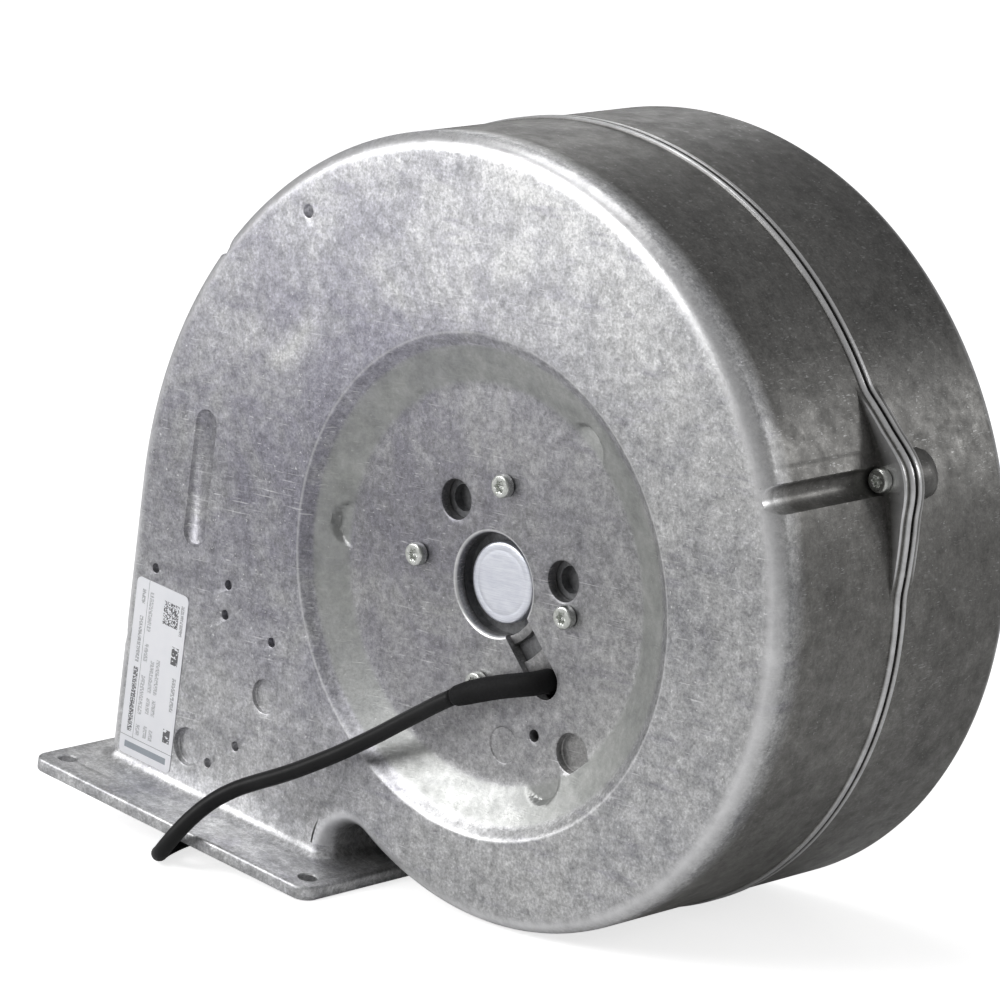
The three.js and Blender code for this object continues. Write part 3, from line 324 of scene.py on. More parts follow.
def outline_columns():
    """Columns round the housing: points of the outline, its outward directions, and the angle at
    which each column meets the round recess. They are close together near the lugs."""
    sweep = np.linspace(scroll_first, scroll_last, 6001)
    away = np.min([np.abs(np.degrees(sweep) - angle) for angle in LUG_ANGLES], axis=0)
    density = 1 / 0.68 + 2.0 * np.exp(-((away / 12) ** 4)) + 3.4 * np.exp(-((away / 2.9) ** 6))
    share = np.concatenate([[0], np.cumsum((density[1:] + density[:-1]) / 2)])
    count = int(math.degrees(scroll_last - scroll_first) * share[-1] / 6000)
    angle = np.interp(np.linspace(0, share[-1], count), share, sweep)
    x, z = scroll_point(angle)
    growth = SCROLL_PITCH + 2 * SCROLL_SWELL * angle
    radius = scroll_radius(angle)
    along = np.stack([
        growth * np.cos(angle) - radius * np.sin(angle), growth * np.sin(angle) + radius * np.cos(angle),
    ])
    along /= np.linalg.norm(along, axis=0)
    points = [np.stack([x, z], axis=1)]
    outward = [np.stack([along[1], -along[0]], axis=1)]
    meeting = [angle]

    left = np.concatenate([
        np.linspace(DUCT_TOP, -34, 12)[1:], np.linspace(-34, -90, 60)[1:], np.linspace(-90, -104, 5)[1:],
        [FLANGE_BOTTOM],
    ])
    points.append(np.stack([np.full(len(left), DUCT_LEFT), left], axis=1))
    outward.append(np.tile([-1.0, 0.0], (len(left), 1)))
    meeting.append(np.interp(left, [FLANGE_BOTTOM, DUCT_TOP], [math.radians(205), scroll_last]))

    bottom = np.linspace(DUCT_LEFT, DUCT_RIGHT, 34)[1:-1]
    points.append(np.stack([bottom, np.full(len(bottom), FLANGE_BOTTOM)], axis=1))
    outward.append(np.zeros((len(bottom), 2)))
    meeting.append(np.radians(np.interp(bottom, [DUCT_LEFT, DUCT_RIGHT], [205.0, 225.0])))

    right = np.linspace(FLANGE_BOTTOM, NOTCH_Z, 6)
    points.append(np.stack([np.full(len(right), DUCT_RIGHT), right], axis=1))
    outward.append(np.tile([1.0, 0.0], (len(right), 1)))
    meeting.append(np.radians(np.interp(right, [FLANGE_BOTTOM, NOTCH_Z], [225.0, 235.0])))

    round_notch = np.linspace(math.pi, math.pi + scroll_first, 22)[1:-1]
    arc = np.stack([np.cos(round_notch), np.sin(round_notch)], axis=1)
    points.append(arc * NOTCH + [NOTCH_X, NOTCH_Z])
    outward.append(-arc)
    meeting.append(np.interp(
        round_notch, [math.pi + scroll_first, math.pi], [scroll_first + 2 * math.pi, math.radians(235)],
    ))
    return np.vstack(points), np.vstack(outward), np.concatenate(meeting)


outline, outward, meeting = outline_columns()
at_bottom = ~outward.any(axis=1)
bottom_left = int(np.flatnonzero(at_bottom)[0]) - 1
bottom_right = int(np.flatnonzero(at_bottom)[-1]) + 1
bottom_share = np.linspace(0, 1, bottom_right - bottom_left + 1)[:, None]


def beside(lug):
    """Each column's place seen from a lug's screw: how far out, and how far to the side."""
    x, z, turn = lug
    offset = outline - [x, z]
    out = offset[:, 0] * math.cos(turn) + offset[:, 1] * math.sin(turn)
    side = offset[:, 1] * math.cos(turn) - offset[:, 0] * math.sin(turn)
    return out, side


def lug_over(side):
    """Height of a lug over the wall: straight lines between measured places, softened by taking the
    mean of five places close together."""
    places = [-33, -12, -6.4, -3, 0, 3, 6.4, 12.9, 26]
    heights = [0, 5.1, 7.5, 8.4, 8.65, 8.35, 7.1, 4.2, 0]
    height = np.interp(side, [-33, -23] + places[1:], [0, 2.0] + heights[1:])
    near = [np.interp(side + shift, places, heights) for shift in (-1.6, -0.8, 0.8, 1.6)]
    return (height + sum(near)) / 5


def boss_reach(side):
    """Outline of the round boss behind a lug."""
    within = np.abs(side) < BOSS_ROUND - 0.02
    return np.where(within, np.sqrt(np.maximum(BOSS_ROUND**2 - side**2, 0)), -100.0)


lug_height, boss_height, groove_depth = np.zeros((3, len(outline)))
for lug in wall_lugs:
    out, side = beside(lug)
    near = (np.abs(side) < 45) & (np.abs(out) < 30)
    lug_height = np.where(near, np.maximum(lug_height, lug_over(side)), lug_height)
    boss_height = np.where(near, np.maximum(boss_height, boss_reach(side) - out), boss_height)
    # The screwdriver's groove before the screw, with its foot rounded into the wall.
    in_groove = np.abs(side) < 9
    bite = np.sqrt(np.maximum(GROOVE_ROUND**2 - side**2, 0)) + out
    groove_depth = np.where(in_groove, 0.5 * (bite + np.sqrt(bite**2 + 0.5)), groove_depth)
    groove_depth = np.where(in_groove & (groove_depth < 0.12), 0.0, groove_depth)


def drawn_in(inset, raised=0.0):
    """The outline moved inward by a distance of its own at each column, with a straight bottom."""
    moved = outline - outward * np.broadcast_to(inset, (len(outline),))[:, None]
    moved[:, 1] = np.maximum(moved[:, 1], FLANGE_BOTTOM + raised)
    start, end = moved[bottom_left], moved[bottom_right]
    moved[bottom_left:bottom_right + 1] = start + (end - start) * bottom_share
    return moved


def wall_row(inset, y, raised=0.0):
    """One row of the skin: the outline drawn in by the inset, at a depth."""
    moved = drawn_in(inset, raised)
    return np.stack([moved[:, 0], np.broadcast_to(y, (len(outline),)), moved[:, 1]], axis=-1)


def round_row(radius, y):
    """One row of the skin: a circle about the fan axis, at a depth that may change round it."""
    return np.stack([
        radius * np.cos(meeting), np.broadcast_to(y, (len(outline),)), radius * np.sin(meeting),
    ], axis=-1)


def between(first, last, shares):
    """Rows that lie given shares of the way along straight lines from one row to another."""
    return [first + (last - first) * share for share in shares]


def cast_skin(name, rows, edges, grain):
    """Closed skin of the rows. Its points keep how bright the edges are, for wear and as a painted
    highlight, and where the cone's own tone is, each as one value to a row or one to a point."""
    points = stood(np.stack(rows))
    count, columns = points.shape[:2]
    piece = mesh_object(name, points.reshape(-1, 3), grid_faces(count, columns, close_rows=True))
    for label, values in (("edge", edges), ("grain", grain)):
        store = piece.data.attributes.new(label, "FLOAT", "POINT")
        spread = np.concatenate([np.broadcast_to(value, (columns,)) for value in values])
        store.data.foreach_set("value", spread.astype(np.float32))
    return piece


# The motor-side half: a round recess with a steep rim, a shallow cone and a plateau for the motor.
RIM, RIM_FOOT, RIM_DROP = 75.0, 71.3, 2.8
PLATEAU_RADIUS, PLATEAU = 59.0, 7.4
HUB_HOLE = 15.4
PAD_RADIUS, PAD_CIRCLE = 7.0, 58.5


def recess_depth(radius):
    """Depth of the recess at a radius: plateau, cone and rim in straight lines, softened by taking
    the mean of eleven places close together."""
    spread = np.linspace(-1, 1, 11)[:, None] * np.interp(radius, [64, 68, 74, 80], [1.5, 1.2, 0.9, 0.9])
    near = np.asarray(radius) + spread
    depth = np.interp(near, [PLATEAU_RADIUS, RIM_FOOT, RIM], [PLATEAU, RIM_DROP, 0.0])
    return depth.mean(axis=0)


def padded_depth(radius):
    """Depth of the recess with its three round pads, which are level with the plateau."""
    depth = np.full(len(outline), recess_depth(np.array([radius]))[0])
    x, z = radius * np.cos(meeting), radius * np.sin(meeting)
    for turn in np.radians([60, 180, 300]):
        away = np.hypot(x - PAD_CIRCLE * math.cos(turn), z - PAD_CIRCLE * math.sin(turn))
        level = np.clip((PAD_RADIUS + 0.5 - away) / 1.0, 0, 1)
        level = level * level * (3 - 2 * level)
        depth = depth + (np.maximum(depth, PLATEAU) - depth) * level
    return depth


def edge_arc(steps):
    """Inset and depth along the rounded edge of a face."""
    turn = np.linspace(0, math.pi / 2, steps)
    return EDGE_ROUND * (1 - np.sin(turn)), EDGE_ROUND * (1 - np.cos(turn))


rows, edges, grain = [], [], []


def add_row(row, edge=0.0, cone=0.0):
    """Adds a row to the skin, with its edge brightness for wear and a painted highlight, and its share of the
    cone's tone.
    """
    rows.append(row)
    edges.append(edge)
    grain.append(cone)


def rounded_edge(front, into, taken=0.0):
    """Rows along the rounded edge of a face; a groove may take more away than the edge does."""
    for inset, depth in zip(*edge_arc(10)):
        # Edge brightness on the rounding stands for wear and a painted highlight.
        wear_and_highlight = float(np.interp(depth, [0, 0.6, 3.5, 6], [0.3, 1.0, 0.6, 0.0]))
        add_row(wall_row(np.maximum(inset, taken), front + into * depth), wear_and_highlight)


add_row(round_row(HUB_HOLE, PLATEAU + FACE))
add_row(round_row(HUB_HOLE, PLATEAU + 0.9), 0.3)
add_row(round_row(HUB_HOLE + 0.25, PLATEAU + 0.35), 1.0)
add_row(round_row(HUB_HOLE + 0.7, PLATEAU + 0.03), 1.0)
add_row(round_row(HUB_HOLE + 1.1, PLATEAU), 0.2)
for radius in np.concatenate([
    np.arange(19, 48, 3.2), np.arange(49.6, 66.4, 0.75), np.arange(67, 70.6, 0.9),
    np.arange(70.7, 76.3, 0.45),
]):
    on_cone = float(np.interp(radius, [57, 59, 60.5, 70.5, 71.5], [0, 0, 1, 1, 0]))
    on_rim = float(np.interp(radius, [74.1, 75.2, 76.2], [0, 0.55, 0]))
    add_row(round_row(radius, padded_depth(radius)), on_rim, on_cone)
rim_row = round_row(78.0, 0.0)
face_edge = wall_row(EDGE_ROUND, 0.0)
for row in between(rim_row, face_edge, [0, 0.04, 0.1, 0.18, 0.28, 0.4, 0.52, 0.64, 0.76, 0.87, 0.95]):
    add_row(row)
rounded_edge(0.0, 1, groove_depth)
lug_front = MOTOR_HALF_END - LUG_THICK
for depth in (10, 16, 22, 28, 34, 40, 45, lug_front - 0.7):
    add_row(wall_row(groove_depth, depth))
seam_start = MOTOR_HALF_END - SEAM_WIDTH
add_row(wall_row(np.where(lug_height > 0.05, 0.0, groove_depth), lug_front - 0.12))
lug_edge = np.clip(lug_height / 2.0, 0, 1)
add_row(wall_row(-lug_height * 0.94, lug_front + 0.02), lug_edge)
add_row(wall_row(-lug_height, lug_front + 0.45), lug_edge)
add_row(wall_row(-lug_height, seam_start - 0.6), 0.0)
add_row(wall_row(-lug_height, seam_start + 0.05), 0.1)
add_row(wall_row(-lug_height - SEAM_OUT * 0.75, seam_start + 0.35), 0.9)
add_row(wall_row(-lug_height - SEAM_OUT, seam_start + 0.75), 1.0)
add_row(wall_row(-lug_height - SEAM_OUT, MOTOR_HALF_END - 0.35), 0.8)
add_row(wall_row(-lug_height - SEAM_OUT + 0.3, MOTOR_HALF_END), 0.3)
add_row(wall_row(WALL, MOTOR_HALF_END, WALL))
for depth in (40, 24, 9.5):
    add_row(wall_row(np.maximum(WALL, groove_depth + WALL - 0.4), depth, WALL))
add_row(wall_row(WALL + 1.8, 5.3, WALL))
inner_edge = wall_row(EDGE_ROUND + 1, FACE, WALL)
inner_rim = round_row(RIM + FACE + 1.5, FACE)
for row in between(inner_edge, inner_rim, [0, 0.35, 0.7, 1.0]):
    add_row(row)
add_row(round_row(RIM_FOOT + 4, RIM_DROP + FACE - 1))
add_row(round_row(PLATEAU_RADIUS + 3, PLATEAU + FACE - 0.6))
add_row(round_row(PLATEAU_RADIUS - 1, PLATEAU + FACE))
add_row(round_row(36.0, PLATEAU + FACE))
motor_half = cast_skin("motor_half", rows, edges, grain)

# The inlet-side half: a flat face with the inlet's bore, and a round boss behind each lug.
NOZZLE_BORE = 61.5
rows, edges, grain = [], [], []
add_row(round_row(NOZZLE_BORE, DEPTH - FACE), 0.2)
add_row(round_row(NOZZLE_BORE, DEPTH - 0.6), 0.4)
add_row(round_row(NOZZLE_BORE + 0.5, DEPTH), 0.8)
add_row(round_row(NOZZLE_BORE + 1.2, DEPTH))
add_row(round_row(76.0, DEPTH))
face_edge = wall_row(EDGE_ROUND, DEPTH)
for row in between(round_row(77.0, DEPTH), face_edge, [0, 0.1, 0.25, 0.4, 0.55, 0.7, 0.84, 0.95]):
    add_row(row)
rounded_edge(DEPTH, -1)
boss_end = INLET_HALF_START + BOSS_LENGTH
for depth in (94, 88, 81, 74, boss_end + 0.9):
    add_row(wall_row(0.0, depth))
boss_edge = np.clip(boss_height / 2.0, 0, 1)
add_row(wall_row(0.0, boss_end + 0.12))
add_row(wall_row(-boss_height * 0.55, boss_end - 0.05), boss_edge * 0.15)
add_row(wall_row(-boss_height * 0.80, boss_end - 0.8), boss_edge * 0.2)
add_row(wall_row(-boss_height * 0.95, boss_end - 2.4), boss_edge * 0.1)
add_row(wall_row(-boss_height, INLET_HALF_START + LUG_THICK + 3))
back_height = np.maximum(lug_height, boss_height)
add_row(wall_row(-boss_height, INLET_HALF_START + LUG_THICK + 0.15))
add_row(wall_row(-back_height * 0.96, INLET_HALF_START + LUG_THICK), lug_edge)
add_row(wall_row(-back_height, INLET_HALF_START + LUG_THICK - 0.5), lug_edge * 0.6)
add_row(wall_row(-back_height, INLET_HALF_START + SEAM_WIDTH + 0.1), 0.1)
add_row(wall_row(-back_height - SEAM_OUT * 0.75, INLET_HALF_START + SEAM_WIDTH - 0.3), 0.9)
add_row(wall_row(-back_height - SEAM_OUT, INLET_HALF_START + SEAM_WIDTH - 0.7), 1.0)
add_row(wall_row(-back_height - SEAM_OUT, INLET_HALF_START + 0.35), 0.8)
add_row(wall_row(-back_height - SEAM_OUT + 0.3, INLET_HALF_START), 0.3)
add_row(wall_row(WALL, INLET_HALF_START, WALL))
for depth in (70, 85, DEPTH - 9.5):
    add_row(wall_row(WALL, depth, WALL))
add_row(wall_row(WALL + 1.8, DEPTH - 5.3, WALL))
inner_edge = wall_row(EDGE_ROUND + 1, DEPTH - FACE, WALL)
for row in between(inner_edge, round_row(70.0, DEPTH - FACE), [0, 0.4, 0.75, 1.0]):
    add_row(row)
inlet_half = cast_skin("inlet_half", rows, edges, grain)


# ---------------------------------------------------------------- holes and pockets in the castings
# The holes are drilled or cast with rounded mouths, and the duct is open down through the flange.
def turned_plug(profile, x, z, sides=32):
    """Vertices and faces of a solid of revolution about a line along the fan axis, from radius and
    depth pairs; its ends are closed flat."""
    turn = np.arange(sides) * 2 * np.pi / sides
    rings = np.stack([
        np.stack([
            x + radius * np.cos(turn), np.full(sides, float(depth)), z + radius * np.sin(turn),
        ], axis=-1) for radius, depth in profile
    ])
    return stood(rings).reshape(-1, 3), capped_faces(len(profile), sides)


def slab(corners, low, high):
    """Vertices and faces of a flat solid between two depths, from a closed outline of x and z."""
    corners = np.asarray(corners, dtype=float)
    count = len(corners)
    rings = np.stack([
        np.stack([corners[:, 0], np.full(count, depth), corners[:, 1]], axis=-1) for depth in (low, high)
    ])
    return stood(rings).reshape(-1, 3), capped_faces(2, count)


def stadium(x, z, turn, length, half_width, steps=16):
    """Outline of a slot with one round end: from a middle line's start to its end at a length."""
    arc = np.linspace(-math.pi / 2, math.pi / 2, steps)
    out = np.concatenate([[0.0], length + half_width * np.cos(arc), [0.0]])
    side = np.concatenate([[-half_width], half_width * np.sin(arc), [half_width]])
    return np.stack([
        x + out * math.cos(turn) - side * math.sin(turn), z + out * math.sin(turn) + side * math.cos(turn),
    ], axis=1)


def rounded_box(left, low, right, high, corner, steps=8):
    """Outline of a rectangle with round corners."""
    arc = np.linspace(0, math.pi / 2, steps)
    parts = []
    for x, z, start in (
        (right - corner, low + corner, -90), (right - corner, high - corner, 0),
        (left + corner, high - corner, 90), (left + corner, low + corner, 180),
    ):
        turn = arc + math.radians(start)
        parts.append(np.stack([x + corner * np.cos(turn), z + corner * np.sin(turn)], axis=1))
    return np.vstack(parts)


def sunk_slab(corners, grown, depths):
    """Solid that narrows with depth: an outline of x and z moved out by one amount at each depth."""
    corners = np.asarray(corners, dtype=float)
    along = np.roll(corners, -1, axis=0) - np.roll(corners, 1, axis=0)
    away = np.stack([along[:, 1], -along[:, 0]], axis=1)
    away /= np.linalg.norm(away, axis=1, keepdims=True)
    rings = np.stack([
        np.insert(corners + away * amount, 1, depth, axis=1) for amount, depth in zip(grown, depths)
    ])
    return stood(rings).reshape(-1, 3), capped_faces(len(depths), len(corners))


def joined_object(name, parts):
    """One object of several closed solids."""
    vertices, faces, start = [], [], 0
    for points, part in parts:
        probe = np.asarray(points)
        triangles = np.array([
            (face[0], face[corner], face[corner + 1]) for face in part for corner in range(1, len(face) - 1)
        ])
        first, second, third = (probe[triangles[:, corner]] for corner in range(3))
        if np.einsum("ij,ij->i", first, np.cross(second, third)).sum() < 0:
            part = [tuple(reversed(face)) for face in part]
        vertices.append(probe)
        faces += [tuple(corner + start for corner in face) for face in part]
        start += len(probe)
    return mesh_object(name, np.vstack(vertices), faces)


def cut(piece, parts):
    """Takes solids out of a piece."""
    cutter = joined_object("cutter", parts)
    change = piece.modifiers.new("holes", "BOOLEAN")
    change.operation = "DIFFERENCE"
    change.solver = "MANIFOLD"
    change.object = cutter
    bpy.context.view_layer.update()
    graph = bpy.context.evaluated_depsgraph_get()
    result = bpy.data.meshes.new_from_object(piece.evaluated_get(graph))
    piece.modifiers.remove(change)
    old = piece.data
    piece.data = result
    bpy.data.meshes.remove(old)
    bpy.data.objects.remove(cutter)


def mouth(radius, top, floor, chamfer=0.45):
    """Profile of a drilled hole with a rounded mouth at one depth and a flat floor at another."""
    return [
        (radius + chamfer + 0.6, top - 0.6), (radius + chamfer, top),
        (radius + chamfer * 0.3, top + chamfer * 0.35),
        (radius, top + chamfer), (radius, floor - 0.3), (radius - 0.3, floor),
    ]


through_plateau = PLATEAU + FACE + 1
air_holes = [(-19.2, 20.4), (26.6, 9.5)]
face_pilots = [
    (-134, -36.8), (-101.6, -31.9), (-101.5, -41.6), (-80.3, -43.6), (-90.5, -81), (-101.6, -90.3),
]
motor_cuts = [turned_plug(mouth(6.0, PLATEAU, through_plateau, 0.6), x, z, 48) for x, z in air_holes]
motor_cuts += [turned_plug(mouth(1.5, 0.0, 2.6, 0.25), x, z, 20) for x, z in face_pilots]
motor_cuts += [
    turned_plug(mouth(2.0, 0.0, 2.8, 0.3), -86.5, 91, 24),
    turned_plug(mouth(1.75, PLATEAU, through_plateau, 0.5), 23.5, -39.4, 24),
    turned_plug(mouth(6.0, PLATEAU, PLATEAU + 2.6, 0.5), 38.8, -39.7, 48),
    turned_plug(mouth(5.5, PLATEAU, PLATEAU + 0.4, 0.2), 12.2, -46.1, 48),
    turned_plug(mouth(5.25, 0.0, 1.6, 0.4), -80.6, -61.3, 40),
    turned_plug(mouth(6.0, 0.0, 2.2, 0.4), -111.4, -88.3, 40),
    sunk_slab(
        rounded_box(-119.4, -20.6, -118.6, 15.0, 0.3), (4.9, 4.2, 3.5, 3.3), (-1, 0.08, 0.85, 1.0),
    ),
    slab(stadium(0, 0, math.radians(-42), 33.0, 5.5), PLATEAU - 1, through_plateau),
]


def duct_way(top):
    """Outline of the way down through the duct, up to a height inside it."""
    left, right, foot = DUCT_LEFT + WALL, DUCT_RIGHT - WALL, FLANGE_BOTTOM - 6
    return [(left, foot), (right, foot), (right, top), (left, top)]


skin_top = FLANGE_BOTTOM + WALL + 0.4
cut(motor_half, motor_cuts + [slab(duct_way(skin_top), FACE, MOTOR_HALF_END + 8)])
cut(inlet_half, [slab(duct_way(skin_top), INLET_HALF_START - 8, DEPTH - FACE)])


# ---------------------------------------------------------------- outlet flange
# Each half carries its part of the flat outlet flange, cast with it: a plate with softened edges,
# a hollow fillet round the duct and two bolt holes. The lower lug closes the notch.
FLANGE_LEFT, FLANGE_RIGHT = DUCT_LEFT - 10.6, DUCT_RIGHT + 14.5
FLANGE_OVER = 21.3
FLANGE_ROUND, SEAM_CORNER = 5.0, 0.3
BOLT_HOLE = 2.9
COVE = 4.0


def plate_outline(inset, near, far, near_round, far_round, steps=10):
    """Plan outline of a plate with its own corner radius at each end, drawn in by an inset."""
    arc = np.linspace(0, math.pi / 2, steps)
    parts = []
    for x, y, start, corner in (
        (FLANGE_RIGHT, near, -90, near_round), (FLANGE_RIGHT, far, 0, far_round),
        (FLANGE_LEFT, far, 90, far_round), (FLANGE_LEFT, near, 180, near_round),
    ):
        into_x = -1 if x == FLANGE_RIGHT else 1
        into_y = 1 if y == near else -1
        turn = arc + math.radians(start)
        small = max(corner - inset, 0.05)
        parts.append(np.stack([
            x + into_x * (inset + small) + small * np.cos(turn),
            y + into_y * (inset + small) + small * np.sin(turn),
        ], axis=1))
    return np.vstack(parts)


def plate(near, far, near_round, far_round):
    """Plate with softened edges: its outline drawn in a little at the top and at the bottom."""
    profile = [
        (0.8, FLANGE_BOTTOM), (0.25, FLANGE_BOTTOM + 0.15), (0.0, FLANGE_BOTTOM + 0.6),
        (0.0, FLANGE_TOP - 1.0), (0.12, FLANGE_TOP - 0.5), (0.45, FLANGE_TOP - 0.14), (1.0, FLANGE_TOP),
    ]
    rings = []
    for inset, height in profile:
        plan = plate_outline(inset, near, far, near_round, far_round)
        rings.append(np.stack([plan[:, 0], plan[:, 1], np.full(len(plan), height)], axis=-1))
    return stood(np.stack(rings)).reshape(-1, 3), capped_faces(len(rings), len(rings[0]))


def upright_plug(x, y, radius, low, high, sides=24, chamfer=0.4):
    """Solid of revolution about an upright line, with wider ends for softened mouths."""
    turn = np.arange(sides) * 2 * np.pi / sides
    profile = [
        (radius + chamfer + 1, low - 1), (radius + chamfer, low), (radius, low + chamfer),
        (radius, high - chamfer), (radius + chamfer, high), (radius + chamfer + 1, high + 1),
    ]
    rings = np.stack([
        np.stack([x + r * np.cos(turn), y + r * np.sin(turn), np.full(sides, height)], axis=-1)
        for r, height in profile
    ])
    return stood(rings).reshape(-1, 3), capped_faces(len(profile), sides)


def cove(near, far):
    """Hollow fillet along three walls of the duct: a quarter-round hollow section, with its foot
    buried in wall and plate, carried round from one end of the half to the other."""
    arc = np.linspace(0, math.pi / 2, 9)
    section = [(-1.2, -1.0), (-1.2, COVE), (0.02, COVE)]
    section += [(COVE - COVE * math.cos(t), COVE - COVE * math.sin(t)) for t in arc[1:-1]]
    section += [(COVE, 0.02), (COVE, -1.0)]
    side = np.linspace(0, 1, 12)
    bend = np.linspace(0, math.pi / 2, 8)
    corner = EDGE_ROUND
    first = 1 if near < far else -1
    plan = [(DUCT_LEFT, far + (near + first * corner - far) * t, -1.0, 0.0) for t in side[:-1]]
    plan += [(
        DUCT_LEFT + corner - corner * math.cos(t), near + first * (corner - corner * math.sin(t)),
        -math.cos(t), -first * math.sin(t),
    ) for t in bend]
    straight = DUCT_RIGHT - DUCT_LEFT - 2 * corner
    plan += [(DUCT_LEFT + corner + straight * t, near, 0.0, -first) for t in side[1:-1]]
    plan += [(
        DUCT_RIGHT - corner + corner * math.sin(t), near + first * (corner - corner * math.cos(t)),
        math.sin(t), -first * math.cos(t),
    ) for t in bend]
    plan += [
        (DUCT_RIGHT, near + first * corner + (far - near - first * corner) * t, 1.0, 0.0)
        for t in side[1:]
    ]
    plan = np.array(plan)
    rings = np.stack([np.stack([
        plan[:, 0] + out * plan[:, 2], plan[:, 1] + out * plan[:, 3], np.full(len(plan), FLANGE_TOP + up),
    ], axis=-1) for out, up in section], axis=1)
    return stood(rings).reshape(-1, 3), capped_faces(len(rings), len(section))


def lower_lug(low, high):
    """The lug in the notch: a rounded block about its screw, with softened edges."""
    x, z = tongue_lug
    rings = []
    for inset, depth in (
        (0.6, low), (0.15, low + 0.2), (0, low + 0.7), (0, high - 0.7), (0.15, high - 0.2), (0.6, high),
    ):
        around = rounded_box(
            DUCT_RIGHT - 1 + inset, z - 7 + inset, x + 7 - inset, z + 10 - inset, 6.5 - inset,
        )
        rings.append(np.stack([around[:, 0], np.full(len(around), depth), around[:, 1]], axis=-1))
    return stood(np.stack(rings)).reshape(-1, 3), capped_faces(len(rings), len(rings[0]))


def joined_castings(name, pieces):
    """Joins the pieces of one casting into its first piece."""
    with bpy.context.temp_override(
        active_object=pieces[0], selected_editable_objects=pieces, selected_objects=pieces,
    ):
        bpy.ops.object.join()
    pieces[0].name = name
    pieces[0].data.name = name
    return pieces[0]


castings = []
for name, shell, near, far, block in (
    ("motor_side_casting", motor_half, -FLANGE_OVER, MOTOR_HALF_END, (FACE, DEPTH)),
    ("inlet_side_casting", inlet_half, INLET_HALF_START, DEPTH + FLANGE_OVER, (0, DEPTH - FACE)),
):
    motor_side = shell is motor_half
    rounds = (FLANGE_ROUND, SEAM_CORNER) if motor_side else (SEAM_CORNER, FLANGE_ROUND)
    lug_span = (far - LUG_THICK, far) if motor_side else (near, near + LUG_THICK)
    flange = joined_object("flange", [plate(near, far, *rounds)])
    outer = near if motor_side else far
    bolt_y = outer + 8 if motor_side else outer - 8
    bolts = [
        upright_plug(x, bolt_y, BOLT_HOLE, FLANGE_BOTTOM, FLANGE_TOP)
        for x in (FLANGE_LEFT + 8, FLANGE_RIGHT - 7)
    ]
    cut(flange, bolts + [slab(duct_way(FLANGE_TOP + 9), *block)])
    foot = cove(0.0, MOTOR_HALF_END) if motor_side else cove(DEPTH, INLET_HALF_START)
    extras = joined_object("extras", [foot, lower_lug(*lug_span)])
    castings.append(joined_castings(name, [shell, flange, extras]))
motor_casting, inlet_casting = castings

# Cast aluminium skin: clouded grey with a faint blue stain, fine bright scratches and a grainy
# surface, with painted light and shade by place and edges brightened for wear and as a painted
# highlight. The group below serves both castings.
def node_group(name, inputs, outputs):
    """Empty shader node group with named sockets, each a (name, type, default) triple."""
    group = bpy.data.node_groups.new(name, "ShaderNodeTree")
    for label, kind, value in inputs:
        socket = group.interface.new_socket(label, in_out="INPUT", socket_type="NodeSocket" + kind)
        if value is not None:
            socket.default_value = value
    for label, kind in outputs:
        group.interface.new_socket(label, in_out="OUTPUT", socket_type="NodeSocket" + kind)
    return group, group.nodes.new("NodeGroupInput"), group.nodes.new("NodeGroupOutput")


class Wiring:
    """Short ways to add and join nodes in one tree."""

    def __init__(self, tree):
        self.nodes, self.links = tree.nodes, tree.links

    def put(self, kind, values=(), **settings):
        node = self.nodes.new("ShaderNode" + kind)
        for name, value in settings.items():
            setattr(node, name, value)
        for key, value in dict(values).items():
            if isinstance(value, bpy.types.NodeSocket):
                self.links.new(value, node.inputs[key])
            else:
                node.inputs[key].default_value = value
        return node

    def noise(self, place, scale, detail=4.0, rough=0.55, distort=0.0):
        return self.put("TexNoise", {
            "Vector": place, "Scale": scale, "Detail": detail, "Roughness": rough, "Distortion": distort,
        }).outputs["Fac"]

    def fit(self, value, low, high, to_low=0.0, to_high=1.0):
        return self.put("MapRange", {
            "Value": value, "From Min": low, "From Max": high, "To Min": to_low, "To Max": to_high,
        }).outputs["Result"]

    def calc(self, kind, first, second=0.0):
        return self.put("Math", {0: first, 1: second}, operation=kind).outputs[0]

    def times(self, first, second):
        return self.calc("MULTIPLY", first, second)

    def plus(self, first, second):
        return self.calc("ADD", first, second)

    def mapped(self, place, **values):
        """Coordinates moved, turned or stretched: location, rotation or scale."""
        values = {name.title(): value for name, value in values.items()}
        return self.put("Mapping", {"Vector": place, **values}).outputs[0]

    def dimmed(self, base, factor, share=1.0):
        """A colour multiplied by a grey of a given strength."""
        grey = self.put("CombineColor", {0: factor, 1: factor, 2: factor}).outputs[0]
        return self.blend(share, base, grey, "MULTIPLY")

    def blend(self, share, first, second, kind="MIX"):
        node = self.put("Mix", data_type="RGBA", blend_type=kind)
        for index, value in ((0, share), (6, first), (7, second)):
            if isinstance(value, bpy.types.NodeSocket):
                self.links.new(value, node.inputs[index])
            else:
                node.inputs[index].default_value = value
        return node.outputs[2]

    def finish(self, shader, color, rough, strength, distance, height):
        """Gives a shader its colour, its roughness and a bump made from a height."""
        bump = self.put("Bump", {"Strength": strength, "Distance": distance, "Height": height})
        sources = {"Base Color": color, "Roughness": rough, "Normal": bump.outputs["Normal"]}
        for label, source in sources.items():
            self.links.new(source, shader.inputs[label])


def new_material(name, metallic=0.0):
    """Material, its wiring and shader, and coordinates that stay with the piece."""
    material = bpy.data.materials.new(name)
    material.use_nodes = True
    w = Wiring(material.node_tree)
    shader = material.node_tree.nodes["Principled BSDF"]
    shader.inputs["Metallic"].default_value = metallic
    return material, w, shader, w.put("TexCoord").outputs["Object"]


